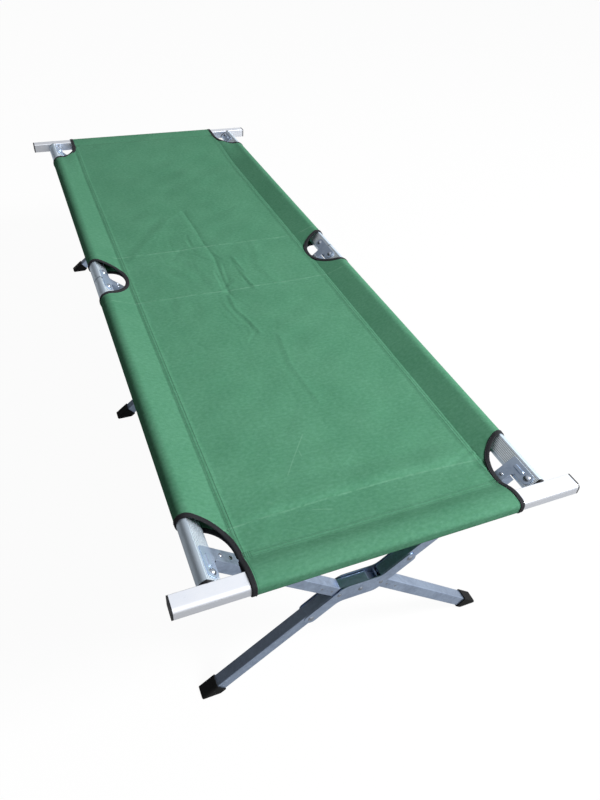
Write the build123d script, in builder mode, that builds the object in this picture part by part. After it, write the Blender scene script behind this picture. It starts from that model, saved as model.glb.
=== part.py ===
from build123d import *
import os
from math import asin, atan2, cos, hypot, radians, sin, sqrt

os.makedirs("parts", exist_ok=True)

# Folding cot: canvas on two side rails and two end bars, carried by three scissor leg pairs.
# X runs across the cot, Y along it with the near end at -Y, Z up. The origin is on the floor, in the middle.
# All sizes are in millimetres and degrees. Side +1 is the right rail and the outer legs hung on it,
# side -1 the left rail and the inner legs. End -1 is the near end, +1 the far end.

# Whole cot
cot_length = 1900.0
leg_angle = 39.7
hub_height = 214.0

# Leg tubes
tube_side = 24.0
tube_wall = 1.2
tube_corner = 2.0
tube_offset = 25.0
rail_reach = 371.5
tube_rail_gap = 1.5

# Scissor hubs
cheek_thickness = 2.0
cheek_gap = 0.35
cheek_margin = 1.0
cheek_waist = 20.2
cheek_bend = 30.0
cheek_overhang = 12.5
large_rivet_along = 107.0
channel_wall = 2.0
channel_gap = 0.35
channel_waist = 16.0
channel_overhang = 14.0
channel_corner = 3.0
stop_reach = 44.0
stop_gap = 0.3
notch_gap = 1.0

# Feet
foot_wall = 2.5
foot_sole = 4.0
foot_lip = 2.6
foot_skirt = 9.0
foot_corner = 4.0

# Side rails
rail_radius = 19.0
rail_flat = 29.0
rail_wall = 1.6
rail_gap = 4.0
groove_count = 8
groove_pitch = 3.2
groove_width = 1.6
groove_depth = 0.9

# Rail end plugs
plug_head = 4.0
plug_lip = 0.6
plug_depth = 10.0
plug_rivet_gap = 1.0
plug_gap = 0.2
pin_inset = 7.5
pin_radius = 4.0
pin_length = 20.0
seat_gap = 0.3

# End bars
bar_length = 737.0
bar_height = 25.0
bar_depth = 32.0
bar_wall = 1.6
bar_edge = 8.0
bar_corner = 1.5
cap_flange = 3.0
cap_depth = 15.0
cap_gap = 0.2

# Brackets
plate_thickness = 2.0
plate_corner = 3.0
flange_inset = 5.5
flange_width = 22.0
flange_bend = 8.0
arm_length = 54.0
arm_rivet_first = 18.5
arm_rivet_pitch = 23.0
bracket_offset = 38.0
bracket_tip = 11.0
bead_length = 26.0
bead_width = 8.0
bead_height = 2.0
bead_start = 2.0
middle_pin_offset = 33.0
stem_rivet_along = 22.0
stem_rivet_offset = 6.0

# Rivets
running_gap = 0.05
pivot_shank = 3.5
pivot_head = 6.5
pivot_dome = 3.5
small_shank = 2.5
small_head = 4.2
small_dome = 2.2
large_shank = 3.2
large_head = 6.5
large_dome = 3.0
scissor_shank = 4.0
scissor_head = 5.2
scissor_dome = 2.6
stop_radius = 4.0
stop_head = 4.6
stop_dome = 1.8
tail_share = 1.35
tail_height = 1.6
flush_rivet_inset = 12.5
flush_rivet_pitch = 28.0

# Canvas
canvas_thickness = 1.2
canvas_gap = 0.4
panel_thickness = 1.5
bed_drop = 17.5
seam_inset = 58.0
hem_width = 64.0
seam_lead = 3.0
cut_inset = 55.0
corner_cut_run = 92.0
corner_bend_inset = 6.0
middle_cut_run = 80.0
binding_width = 8.0
binding_rise = 0.8
cut_height = 120.0

# Worked-out places shared by the pieces
leg_cos = cos(radians(leg_angle))
leg_sin = sin(radians(leg_angle))
twice_cos = cos(radians(2 * leg_angle))
twice_sin = sin(radians(2 * leg_angle))
upper_face = tube_side / 2 - tube_offset
tube_outer = tube_offset + tube_side / 2
foot_half = tube_side / 2 + foot_wall
foot_tip = (hub_height + (tube_offset + foot_half) * leg_cos - foot_lip) / leg_sin
foot_heel = (hub_height + (tube_offset - foot_half) * leg_cos) / leg_sin
foot_length = foot_tip - foot_heel + foot_skirt
tube_bore = tube_side - 2 * tube_wall
rail_flat_rise = sqrt(rail_radius**2 - (rail_flat / 2) ** 2)
rail_centre_across = upper_face - rail_flat_rise
tube_top = rail_reach - rail_radius - tube_rail_gap
outer_tube_start = (tube_outer * (1 + twice_cos) + stop_gap) / twice_sin
stop_along = stop_reach * leg_cos
stop_across = stop_reach * leg_sin
notch_along = stop_along + stop_radius + notch_gap
cheek_inner_y = tube_side / 2 + cheek_gap
cheek_outer_y = cheek_inner_y + cheek_thickness
bar_flat_y = cot_length / 2 - bar_depth
rail_end_y = bar_flat_y - seat_gap - plug_head
pivot_y = rail_end_y - plug_depth - plug_rivet_gap - pivot_shank * tail_share
leg_spacing = pivot_y - bracket_offset
flange_outer = rail_reach + rail_flat / 2 - flange_inset
flange_inner = flange_outer - flange_width
pivot_along = flange_outer - flange_width / 2
hem_y = cot_length / 2 - hem_width
leg_rows = {"near": -1, "middle": 0, "far": 1}
ends = {"near": -1, "far": 1}
sides = {"left": -1, "right": 1}


def keep(builder, name):
    """Label a finished piece and write it."""
    builder.part.label = name
    export_step(builder.part, f"parts/{name}.step")


def leg_point(side, along, across):
    """X and Z of a point on a leg, along it from the scissor pivot and square to it, upwards."""
    x = side * (along * leg_cos - across * leg_sin)
    z = hub_height + along * leg_sin + across * leg_cos
    return x, z


def level_along(height, across):
    """How far along a leg the level line at a height over the pivot crosses the line at across."""
    return (height - across * leg_cos) / leg_sin


def side_plane(side, y, along=0.0, across=0.0):
    """Upright plane across the cot: local x runs up the leg and local y square to it."""
    x, z = leg_point(side, along, across)
    return Plane(origin=(x, y, z), x_dir=(side * leg_cos, 0, leg_sin), z_dir=(0, -side, 0))


def face_plane(side, y, along=0.0):
    """Plane of a leg's upper face and a rail's flat: local x runs up the leg, local y along side times Y."""
    x, z = leg_point(side, along, upper_face)
    return Plane(origin=(x, y, z), x_dir=(side * leg_cos, 0, leg_sin), z_dir=(-side * leg_sin, 0, leg_cos))


def tube_plane(side, y, along, across):
    """Plane square to a leg, facing up it: local x runs along Y."""
    x, z = leg_point(side, along, across)
    return Plane(origin=(x, y, z), x_dir=(0, 1, 0), z_dir=(side * leg_cos, 0, leg_sin))


def across_plane(side, y):
    """Upright plane across the cot: local x runs outwards from the middle and local y up from the floor."""
    return Plane(origin=(0, y, 0), x_dir=(side, 0, 0), z_dir=(0, -side, 0))


def end_plane(end):
    """Upright plane along the cot's middle: local x runs out to an end and local y up from the floor."""
    return Plane(origin=(0, 0, 0), x_dir=(0, end, 0), z_dir=(end, 0, 0))


def rivet_plane(x, y, z):
    """Plane of a rivet head that faces the near end."""
    return Plane(origin=(x, y, z), x_dir=(1, 0, 0), z_dir=(0, -1, 0))


# Rivets
def domed_rivet(grip, shank, head, dome):
    """Rivet on the Z axis: its domed head stands on Z = 0, and its tail lies under the grip."""
    tail = shank * tail_share
    dome_radius = (head**2 + dome**2) / (2 * dome)
    half_turn = asin(head / dome_radius) / 2
    crown = (dome_radius * sin(half_turn), dome - dome_radius * (1 - cos(half_turn)))
    with BuildPart() as rivet:
        with BuildSketch(Plane.XZ):
            with BuildLine():
                Polyline(
                    (0, dome),
                    (0, -grip - tail_height),
                    (tail, -grip - tail_height),
                    (tail, -grip),
                    (shank, -grip),
                    (shank, 0),
                    (head, 0),
                )
                ThreePointArc((head, 0), crown, (0, dome))
            make_face()
        revolve(axis=Axis.Z)
    return rivet.part


def rivet_group(name, rivet, planes):
    """Copies of one rivet, each with its head on one of the planes."""
    with BuildPart() as group:
        with Locations(*planes):
            add(rivet)
    keep(group, name)


# Leg tubes
def leg_tube(name, side, row, start, end, through_rivets=(), through_radius=0.0, face_rivets=()):
    """Square tube of a leg, above the pivot where start is positive and below it where it is negative.

    Through rivets cross it along Y at these places, face rivets sit in its upper face at (along, offset).
    """
    y = row * leg_spacing
    across = -tube_offset if start > 0 else tube_offset
    with BuildPart() as tube:
        with BuildSketch(tube_plane(side, y, start, across)):
            RectangleRounded(tube_side, tube_side, tube_corner)
            RectangleRounded(tube_bore, tube_bore, tube_corner - tube_wall, mode=Mode.SUBTRACT)
        extrude(amount=end - start)
        if through_rivets:
            with BuildSketch(side_plane(side, y)):
                with Locations(*[(along, across) for along in through_rivets]):
                    Circle(through_radius + running_gap)
            extrude(amount=tube_side, both=True, mode=Mode.SUBTRACT)
        if face_rivets:
            with BuildSketch(face_plane(side, y)):
                with Locations(*face_rivets):
                    Circle(small_shank + running_gap)
            extrude(amount=-2 * tube_wall, mode=Mode.SUBTRACT)
        if start < 0:
            split(bisect_by=Plane.XY.offset(foot_sole), keep=Keep.TOP)
    keep(tube, name)


arm_rivets = [(flange_inner - arm_rivet_first - arm_rivet_pitch * step, 0) for step in range(2)]
stem_rivets = [(flange_inner - stem_rivet_along, stem_rivet_offset * sign) for sign in (-1, 1)]
channel_half_width = tube_bore / 2 - channel_gap
channel_low = tube_offset - channel_half_width
channel_high = tube_offset + channel_half_width
channel_shoulder = level_along(channel_waist, -channel_low)
inner_tube_start = max(notch_along, channel_shoulder + channel_corner)
flush_rivets = [inner_tube_start + flush_rivet_inset + flush_rivet_pitch * step for step in range(2)]
for row_name, row in leg_rows.items():
    face_rivets = arm_rivets if row else stem_rivets
    leg_tube(
        f"outer_leg_upper_{row_name}", 1, row, outer_tube_start, tube_top,
        [large_rivet_along], large_shank, face_rivets,
    )
    leg_tube(
        f"outer_leg_lower_{row_name}", 1, row, -foot_tip, -outer_tube_start,
        [-large_rivet_along], large_shank,
    )
    leg_tube(
        f"inner_leg_upper_{row_name}", -1, row, inner_tube_start, tube_top,
        flush_rivets, small_shank, face_rivets,
    )
    leg_tube(
        f"inner_leg_lower_{row_name}", -1, row, -foot_tip, -inner_tube_start,
        [-along for along in flush_rivets], small_shank,
    )


# Outer hub cheeks: a pair of S-shaped plates outside the outer leg's tubes
cheek_low = tube_offset - tube_side / 2 - cheek_margin
cheek_high = tube_offset + tube_side / 2 + cheek_margin
cheek_reach = large_rivet_along + cheek_overhang
cheek_half = [
    (-cheek_reach, cheek_high),
    (level_along(cheek_waist, cheek_high), cheek_high),
    (level_along(cheek_waist, -cheek_low), -cheek_low),
    (cheek_reach, -cheek_low),
]
cheek_outline = cheek_half + [(-along, -across) for along, across in cheek_half]
cheek_end = 0.49 * (cheek_high - cheek_low)
cheek_radii = [cheek_end, cheek_bend, cheek_bend, cheek_end] * 2
for row_name, row in leg_rows.items():
    y = row * leg_spacing
    with BuildPart() as cheeks:
        for inner_y in (y - cheek_outer_y, y + cheek_inner_y):
            with BuildSketch(side_plane(1, inner_y)):
                with BuildLine():
                    FilletPolyline(*cheek_outline, radius=cheek_radii, close=True)
                make_face()
                Circle(scissor_shank + running_gap, mode=Mode.SUBTRACT)
                with Locations((-large_rivet_along, tube_offset), (large_rivet_along, -tube_offset)):
                    Circle(large_shank + running_gap, mode=Mode.SUBTRACT)
                with Locations((-stop_along, stop_across), (stop_along, -stop_across)):
                    Circle(stop_radius + running_gap, mode=Mode.SUBTRACT)
            extrude(amount=-cheek_thickness)
    keep(cheeks, f"hub_cheeks_{row_name}")

# Inner hub channels: an S-shaped channel, open below, that joins the inner leg's tubes from inside
channel_reach = flush_rivets[-1] + channel_overhang
notch_across = stop_across - stop_radius - stop_gap
channel_half = [
    (-channel_reach, channel_high),
    (-notch_along, channel_high),
    (-notch_along, notch_across),
    (level_along(channel_waist, notch_across), notch_across),
    (channel_shoulder, -channel_low),
    (channel_reach, -channel_low),
]
channel_outline = channel_half + [(-along, -across) for along, across in channel_half]
channel_radii = [0, 0, 0, channel_corner, channel_corner, 0] * 2
for row_name, row in leg_rows.items():
    y = row * leg_spacing
    with BuildPart() as channel:
        with BuildSketch(side_plane(-1, y)):
            with BuildLine():
                FilletPolyline(*channel_outline, radius=channel_radii, close=True)
            make_face()
        extrude(amount=channel_half_width, both=True)
        with BuildSketch(side_plane(-1, y, 0, -channel_wall)):
            with BuildLine():
                FilletPolyline(*channel_outline, radius=channel_radii, close=True)
            make_face()
        extrude(amount=channel_half_width - channel_wall, both=True, mode=Mode.SUBTRACT)
        with BuildSketch(side_plane(-1, y)):
            Circle(scissor_shank + running_gap)
            with Locations(*[(along, -tube_offset) for along in flush_rivets]):
                Circle(small_shank + running_gap)
            with Locations(*[(-along, tube_offset) for along in flush_rivets]):
                Circle(small_shank + running_gap)
        extrude(amount=tube_side, both=True, mode=Mode.SUBTRACT)
    keep(channel, f"inner_hub_{row_name}")

# Hub rivets, scissor pivots, stop pins and flush rivets
hub_grip = 2 * cheek_outer_y
hub_rows = [row * leg_spacing for row in leg_rows.values()]


def hub_planes(places):
    """Head planes on the near faces of the three hubs, at these places along and across the outer legs."""
    points = [leg_point(1, along, across) for along, across in places]
    return [rivet_plane(x, y - cheek_outer_y, z) for y in hub_rows for x, z in points]


large_places = [(-large_rivet_along, tube_offset), (large_rivet_along, -tube_offset)]
stop_places = [(-stop_along, stop_across), (stop_along, -stop_across)]
large_rivet = domed_rivet(hub_grip, large_shank, large_head, large_dome)
scissor_pivot = domed_rivet(hub_grip, scissor_shank, scissor_head, scissor_dome)
stop_pin = domed_rivet(hub_grip, stop_radius, stop_head, stop_dome)
rivet_group("hub_rivets", large_rivet, hub_planes(large_places))
rivet_group("scissor_pivots", scissor_pivot, hub_planes([(0, 0)]))
rivet_group("stop_pins", stop_pin, hub_planes(stop_places))

with BuildPart() as flush_group:
    for y in hub_rows:
        with BuildSketch(side_plane(-1, y)):
            with Locations(*[(along, -tube_offset) for along in flush_rivets]):
                Circle(small_shank)
            with Locations(*[(-along, tube_offset) for along in flush_rivets]):
                Circle(small_shank)
        extrude(amount=tube_side / 2, both=True)
keep(flush_group, "inner_hub_rivets")


# Feet: rubber caps, cut level with the floor
def foot(name, side, row):
    """Cap over the lower end of a leg, with a sole under the tube."""
    section = tube_plane(side, row * leg_spacing, -foot_tip, tube_offset)
    with BuildPart() as socket:
        with BuildSketch(section):
            RectangleRounded(tube_side, tube_side, tube_corner)
        extrude(amount=foot_length)
        split(bisect_by=Plane.XY.offset(foot_sole), keep=Keep.TOP)
    with BuildPart() as cap:
        with BuildSketch(section):
            RectangleRounded(2 * foot_half, 2 * foot_half, foot_corner)
        extrude(amount=foot_length)
        split(bisect_by=Plane.XY, keep=Keep.TOP)
        add(socket.part, mode=Mode.SUBTRACT)
    keep(cap, name)


for row_name, row in leg_rows.items():
    foot(f"foot_left_{row_name}", 1, row)
    foot(f"foot_right_{row_name}", -1, row)


# Side rails
def d_section(inset):
    """D-shaped section round the rail's centre, its flat facing local y, drawn in by inset."""
    radius = rail_radius - inset
    Circle(radius)
    with Locations((0, rail_flat_rise - inset + rail_radius)):
        Rectangle(4 * rail_radius, 2 * rail_radius, mode=Mode.SUBTRACT)


def rail_plane(side, y):
    """Section plane of a rail, with its origin on the centre of the round back."""
    return side_plane(side, y, rail_reach, rail_centre_across)


def rail(name, side, end):
    """One half of a side rail, hollow, with a grooved flat and holes for its bracket pivots."""
    start_y = end * rail_gap / 2
    length = -side * end * (rail_end_y - rail_gap / 2)
    with BuildPart() as half:
        with BuildSketch(rail_plane(side, start_y)):
            d_section(0)
            with Locations((0, rail_flat_rise)):
                with GridLocations(groove_pitch, 0, groove_count, 1):
                    Rectangle(groove_width, 2 * groove_depth, mode=Mode.SUBTRACT)
        extrude(amount=length)
        with BuildSketch(rail_plane(side, start_y)):
            d_section(rail_wall)
        extrude(amount=length, mode=Mode.SUBTRACT)
        for y in (middle_pin_offset, pivot_y):
            with BuildSketch(face_plane(side, end * y, pivot_along)):
                Circle(pivot_shank + running_gap)
            extrude(amount=-2 * rail_wall, mode=Mode.SUBTRACT)
    keep(half, name)


def rail_plug(name, side, end):
    """Plug in a rail's outer end; the left ones carry the pin that an end bar turns on."""
    outwards = -side * end
    with BuildPart() as plug:
        with BuildSketch(rail_plane(side, end * rail_end_y)):
            d_section(plug_lip)
        extrude(amount=outwards * plug_head)
        with BuildSketch(rail_plane(side, end * rail_end_y)):
            d_section(rail_wall + plug_gap)
        extrude(amount=-outwards * plug_depth)
        if side < 0:
            with BuildSketch(rail_plane(side, end * (rail_end_y + plug_head))):
                with Locations((0, rail_flat_rise - pin_inset)):
                    Circle(pin_radius)
            extrude(amount=outwards * (seat_gap + pin_length))
    keep(plug, name)


for side_name, side in sides.items():
    for end_name, end in ends.items():
        rail(f"rail_{side_name}_{end_name}", side, end)
        rail_plug(f"rail_plug_{side_name}_{end_name}", side, end)

# End bars
pin_x, pin_z = leg_point(1, rail_reach, upper_face - pin_inset)
bar_top = pin_z + bar_height / 2
bar_bottom = pin_z - bar_height / 2
bar_outer_y = cot_length / 2


def bar_section():
    """Closed outline of an end bar: a sharp-edged flat towards the cot, round edges outside."""
    with BuildLine() as outline:
        FilletPolyline(
            (bar_flat_y, bar_bottom),
            (bar_outer_y, bar_bottom),
            (bar_outer_y, bar_top),
            (bar_flat_y, bar_top),
            radius=[bar_corner, bar_edge, bar_edge, bar_corner],
            close=True,
        )
    make_face(outline.edges())


for end_name, end in ends.items():
    with BuildPart() as bar:
        with BuildSketch(end_plane(end)):
            bar_section()
            offset(amount=-bar_wall, mode=Mode.SUBTRACT)
        extrude(amount=bar_length / 2 - cap_flange, both=True)
        with BuildSketch(rivet_plane(0, end * bar_flat_y, 0)):
            with Locations((-pin_x, pin_z), (pin_x, pin_z)):
                Circle(pin_radius + running_gap)
        extrude(amount=2 * bar_wall, both=True, mode=Mode.SUBTRACT)
    keep(bar, f"end_bar_{end_name}")
    with BuildPart() as caps:
        for cap_side in (-1, 1):
            seat = bar_length / 2 - cap_flange
            with BuildSketch(end_plane(end).offset(cap_side * seat)):
                bar_section()
            extrude(amount=cap_side * cap_flange)
            with BuildSketch(end_plane(end).offset(cap_side * seat)):
                bar_section()
                offset(amount=-(bar_wall + cap_gap), mode=Mode.REPLACE)
            extrude(amount=-cap_side * cap_depth)
    keep(caps, f"end_bar_caps_{end_name}")


# Brackets
def end_bracket(name, side, end):
    """L plate: its arm is riveted to an end leg, its flange turns on a rail near the rail's end."""
    y = end * leg_spacing
    out = side * end
    half_arm = tube_side / 2
    tip = bracket_offset + bracket_tip
    outline = [
        (flange_inner - arm_length, -half_arm),
        (flange_outer, -half_arm),
        (flange_outer, tip),
        (flange_inner, tip),
        (flange_inner, half_arm),
        (flange_inner - arm_length, half_arm),
    ]
    tip_radius = 0.45 * flange_width
    radii = [plate_corner, plate_corner, tip_radius, tip_radius, flange_bend, plate_corner]
    with BuildPart() as plate:
        with BuildSketch(face_plane(side, y)):
            with BuildLine():
                FilletPolyline(*[(along, out * w) for along, w in outline], radius=radii, close=True)
            make_face()
            with Locations((pivot_along, out * bracket_offset)):
                Circle(pivot_shank + running_gap, mode=Mode.SUBTRACT)
            with Locations(*arm_rivets):
                Circle(small_shank + running_gap, mode=Mode.SUBTRACT)
        extrude(amount=plate_thickness)
        with BuildSketch(face_plane(side, y).offset(plate_thickness)):
            with Locations((pivot_along, out * (bead_start + bead_length / 2))):
                SlotOverall(bead_length, bead_width, rotation=90)
        extrude(amount=bead_height, taper=35)
    keep(plate, name)


def middle_plate(name, side):
    """T plate: its stem is riveted to the middle leg, and a rail half turns on each end of its flange."""
    half_stem = tube_side / 2
    tip = middle_pin_offset + bracket_tip
    half = [
        (flange_inner - arm_length, half_stem),
        (flange_inner, half_stem),
        (flange_inner, tip),
        (flange_outer, tip),
    ]
    outline = half + [(along, -w) for along, w in reversed(half)]
    tip_radius = 0.45 * flange_width
    radii = [plate_corner, flange_bend, tip_radius, tip_radius]
    with BuildPart() as plate:
        with BuildSketch(face_plane(side, 0)):
            with BuildLine():
                FilletPolyline(*outline, radius=radii + radii[::-1], close=True)
            make_face()
            with Locations((pivot_along, middle_pin_offset), (pivot_along, -middle_pin_offset)):
                Circle(pivot_shank + running_gap, mode=Mode.SUBTRACT)
            with Locations(*stem_rivets):
                Circle(small_shank + running_gap, mode=Mode.SUBTRACT)
        extrude(amount=plate_thickness)
    keep(plate, name)


pivot_rivet = domed_rivet(plate_thickness + rail_wall, pivot_shank, pivot_head, pivot_dome)
arm_rivet = domed_rivet(plate_thickness + tube_wall, small_shank, small_head, small_dome)
for side_name, side in sides.items():
    for end_name, end in ends.items():
        end_bracket(f"end_bracket_{side_name}_{end_name}", side, end)
    middle_plate(f"middle_plate_{side_name}", side)
    pivot_rows = [-pivot_y, -middle_pin_offset, middle_pin_offset, pivot_y]
    pivot_planes = [face_plane(side, y, pivot_along).offset(plate_thickness) for y in pivot_rows]
    rivet_group(f"bracket_pivots_{side_name}", pivot_rivet, pivot_planes)
    arm_planes = [
        face_plane(side, row * leg_spacing + side * w, along).offset(plate_thickness)
        for row in leg_rows.values()
        for along, w in (arm_rivets if row else stem_rivets)
    ]
    rivet_group(f"bracket_rivets_{side_name}", arm_rivet, arm_planes)

# Canvas
rail_x, rail_z = leg_point(1, rail_reach, rail_centre_across)
bed_z = rail_z + rail_radius - bed_drop
sleeve_radius = rail_radius + canvas_gap + canvas_thickness
seam_x = rail_x - seam_inset
cut_x = rail_x - cut_inset
cut_rim_x = rail_x + sleeve_radius
corner_bend_y = hem_y - corner_bend_inset


def sleeve_section(rise, thickness):
    """Loop of canvas from the side seam round a rail, its outside raised by rise."""
    radius = sleeve_radius + rise
    apex = (seam_x - seam_lead, bed_z)
    lean = atan2(rail_z - apex[1], rail_x - apex[0])
    spread = asin(radius / hypot(rail_x - apex[0], rail_z - apex[1]))
    upper = lean + spread
    lower = lean - spread
    over = (rail_x - radius * sin(upper), rail_z + radius * cos(upper))
    under = (rail_x + radius * sin(lower), rail_z - radius * cos(lower))
    outside = (rail_x + radius * cos(lean), rail_z + radius * sin(lean))
    with BuildLine() as outline:
        Polyline(under, apex, over)
        ThreePointArc(over, outside, under)
    make_face(outline.edges())
    offset(amount=-thickness, mode=Mode.SUBTRACT)


def hem_section(rise, thickness):
    """Loop of canvas from the end seam round an end bar, its outside raised by rise."""
    wrap = canvas_gap + canvas_thickness + rise
    with BuildLine() as outline:
        FilletPolyline(
            (hem_y - seam_lead, bed_z),
            (bar_flat_y, bar_bottom - wrap),
            (bar_outer_y + wrap, bar_bottom - wrap),
            (bar_outer_y + wrap, bar_top + wrap),
            (bar_flat_y, bar_top + wrap),
            radius=[0, bar_corner + wrap, bar_edge + wrap, bar_edge + wrap, bar_corner + wrap],
            close=True,
        )
    make_face(outline.edges())
    offset(amount=-thickness, mode=Mode.SUBTRACT)


def corner_opening(side, end, grow):
    """Upright prism of a corner cut-out, grown by the binding's width where asked."""
    rim = cot_length
    with BuildPart() as prism:
        with BuildSketch(Plane.XY.offset(bed_z - cut_height / 2)):
            with Locations((side * cut_rim_x, end * corner_bend_y)):
                Ellipse(cut_rim_x - cut_x + grow, corner_cut_run + grow)
            with Locations((side * (cut_x - grow + rim / 2), end * (corner_bend_y + rim / 2))):
                Rectangle(rim, rim)
        extrude(amount=cut_height)
    return prism.part


def middle_opening(side, grow):
    """Upright prism of a middle cut-out, grown by the binding's width where asked."""
    with BuildPart() as prism:
        with BuildSketch(Plane.XY.offset(bed_z - cut_height / 2)):
            with Locations((side * cut_rim_x, 0)):
                Ellipse(cut_rim_x - cut_x + grow, middle_cut_run + grow)
        extrude(amount=cut_height)
    return prism.part


def side_loop(side, end, rise, thickness):
    """Side sleeve from the middle of the cot to the end seam, before its cut-outs."""
    with BuildPart() as loop:
        with BuildSketch(across_plane(side, 0)):
            sleeve_section(rise, thickness)
        extrude(amount=-side * end * hem_y)
        split(bisect_by=Plane.YZ.offset(side * seam_x), keep=Keep.TOP if side > 0 else Keep.BOTTOM)
    return loop.part


def end_loop(end, rise, thickness):
    """End sleeve over the whole width of the canvas, before its cut-outs."""
    with BuildPart() as loop:
        with BuildSketch(end_plane(end)):
            hem_section(rise, thickness)
        extrude(amount=cut_x, both=True)
        split(bisect_by=Plane.XZ.offset(-end * hem_y), keep=Keep.BOTTOM if end > 0 else Keep.TOP)
    return loop.part


with BuildPart() as panel:
    with BuildSketch(Plane.XY.offset(bed_z - panel_thickness / 2)):
        Rectangle(2 * seam_x, 2 * hem_y)
    extrude(amount=panel_thickness)
    for side in sides.values():
        add(middle_opening(side, binding_width), mode=Mode.SUBTRACT)
        for end in ends.values():
            add(corner_opening(side, end, binding_width), mode=Mode.SUBTRACT)
keep(panel, "bed_panel")

for side_name, side in sides.items():
    for end_name, end in ends.items():
        with BuildPart() as sleeve:
            add(side_loop(side, end, 0, canvas_thickness))
            add(middle_opening(side, binding_width), mode=Mode.SUBTRACT)
            add(corner_opening(side, end, binding_width), mode=Mode.SUBTRACT)
        keep(sleeve, f"side_sleeve_{side_name}_{end_name}")

for end_name, end in ends.items():
    with BuildPart() as sleeve:
        add(end_loop(end, 0, canvas_thickness))
        for side in sides.values():
            add(corner_opening(side, end, binding_width), mode=Mode.SUBTRACT)
    keep(sleeve, f"end_sleeve_{end_name}")

# Edge binding: a thicker band of the same loops round each cut-out
binding_thickness = canvas_thickness + binding_rise
with BuildPart() as thick_panel:
    with BuildSketch(Plane.XY.offset(bed_z - panel_thickness / 2 - binding_rise)):
        Rectangle(2 * seam_x, 2 * hem_y)
    extrude(amount=panel_thickness + 2 * binding_rise)


def bound_edge(loops, opening, grown_opening):
    """Band of the loops that lies between a cut-out and the same cut-out grown by the binding's width."""
    with BuildPart() as band:
        add(thick_panel.part)
        for loop in loops:
            add(loop)
        add(grown_opening, mode=Mode.INTERSECT)
        add(opening, mode=Mode.SUBTRACT)
    return band.part


for side_name, side in sides.items():
    side_loops = {end: side_loop(side, end, binding_rise, binding_thickness) for end in ends.values()}
    with BuildPart() as binding:
        add(bound_edge(side_loops.values(), middle_opening(side, 0), middle_opening(side, binding_width)))
        for end in ends.values():
            loops = [side_loops[end], end_loop(end, binding_rise, binding_thickness)]
            add(bound_edge(loops, corner_opening(side, end, 0), corner_opening(side, end, binding_width)))
    keep(binding, f"edge_binding_{side_name}")
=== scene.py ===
import logging
from dataclasses import dataclass, field
from enum import Enum
from math import asin, atan2, cos, hypot, pi, radians, sin

import bmesh
import bpy
import numpy as np
from mathutils import Matrix, Vector


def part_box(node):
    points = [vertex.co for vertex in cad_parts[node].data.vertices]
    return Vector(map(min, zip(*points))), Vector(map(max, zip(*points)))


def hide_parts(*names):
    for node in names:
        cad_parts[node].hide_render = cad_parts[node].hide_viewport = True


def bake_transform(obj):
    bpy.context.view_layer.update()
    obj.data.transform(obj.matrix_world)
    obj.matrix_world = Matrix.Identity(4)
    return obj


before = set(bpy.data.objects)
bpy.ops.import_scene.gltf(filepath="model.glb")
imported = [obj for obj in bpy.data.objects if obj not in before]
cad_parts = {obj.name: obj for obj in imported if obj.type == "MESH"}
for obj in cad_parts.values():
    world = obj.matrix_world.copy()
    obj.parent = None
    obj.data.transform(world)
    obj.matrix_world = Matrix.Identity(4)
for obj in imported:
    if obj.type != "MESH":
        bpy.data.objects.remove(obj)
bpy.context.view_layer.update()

# Looks of a folding cot, in metres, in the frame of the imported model: X across, Y along, Z up.

log = logging.getLogger("folding_cot")
Array = np.ndarray
Material = bpy.types.Material
Object = bpy.types.Object
Colour = tuple[float, float, float, float]
Spot = tuple[float, float]
Band = tuple[float, float]
Triple = tuple[float, float, float]
Rows = list[tuple[Array, Array]]
WHITE: Colour = (1.0, 1.0, 1.0, 1.0)


class Way(Enum):
    """A direction along one axis of the cot."""

    @property
    def label(self) -> str:
        """The name as pieces carry it."""
        return self.name.lower()


class Side(Way):
    """The two long sides of the cot, as signs of X."""

    LEFT = -1
    RIGHT = 1


class End(Way):
    """The two ends of the cot, as signs of Y."""

    NEAR = -1
    FAR = 1


class Cut(Enum):
    """The two cut edges of a side strip, as its first and last column."""

    FIRST = 0
    LAST = -1


class Grain(Enum):
    """The way a drawn metal's fine lines run."""

    ALONG = (260.0, 3.0, 260.0)
    ACROSS = (3.0, 260.0, 260.0)


def tone(code: str) -> Colour:
    """Turn a screen colour such as "5a9575" into linear light.

    Args:
        code: Six hexadecimal digits, red first.

    Returns:
        Linear red, green, blue and an alpha of 1.
    """
    parts = [int(code[i : i + 2], 16) / 255 for i in (0, 2, 4)]
    linear = [c / 12.92 if c <= 0.04045 else ((c + 0.055) / 1.055) ** 2.4 for c in parts]
    return linear[0], linear[1], linear[2], 1.0


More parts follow.
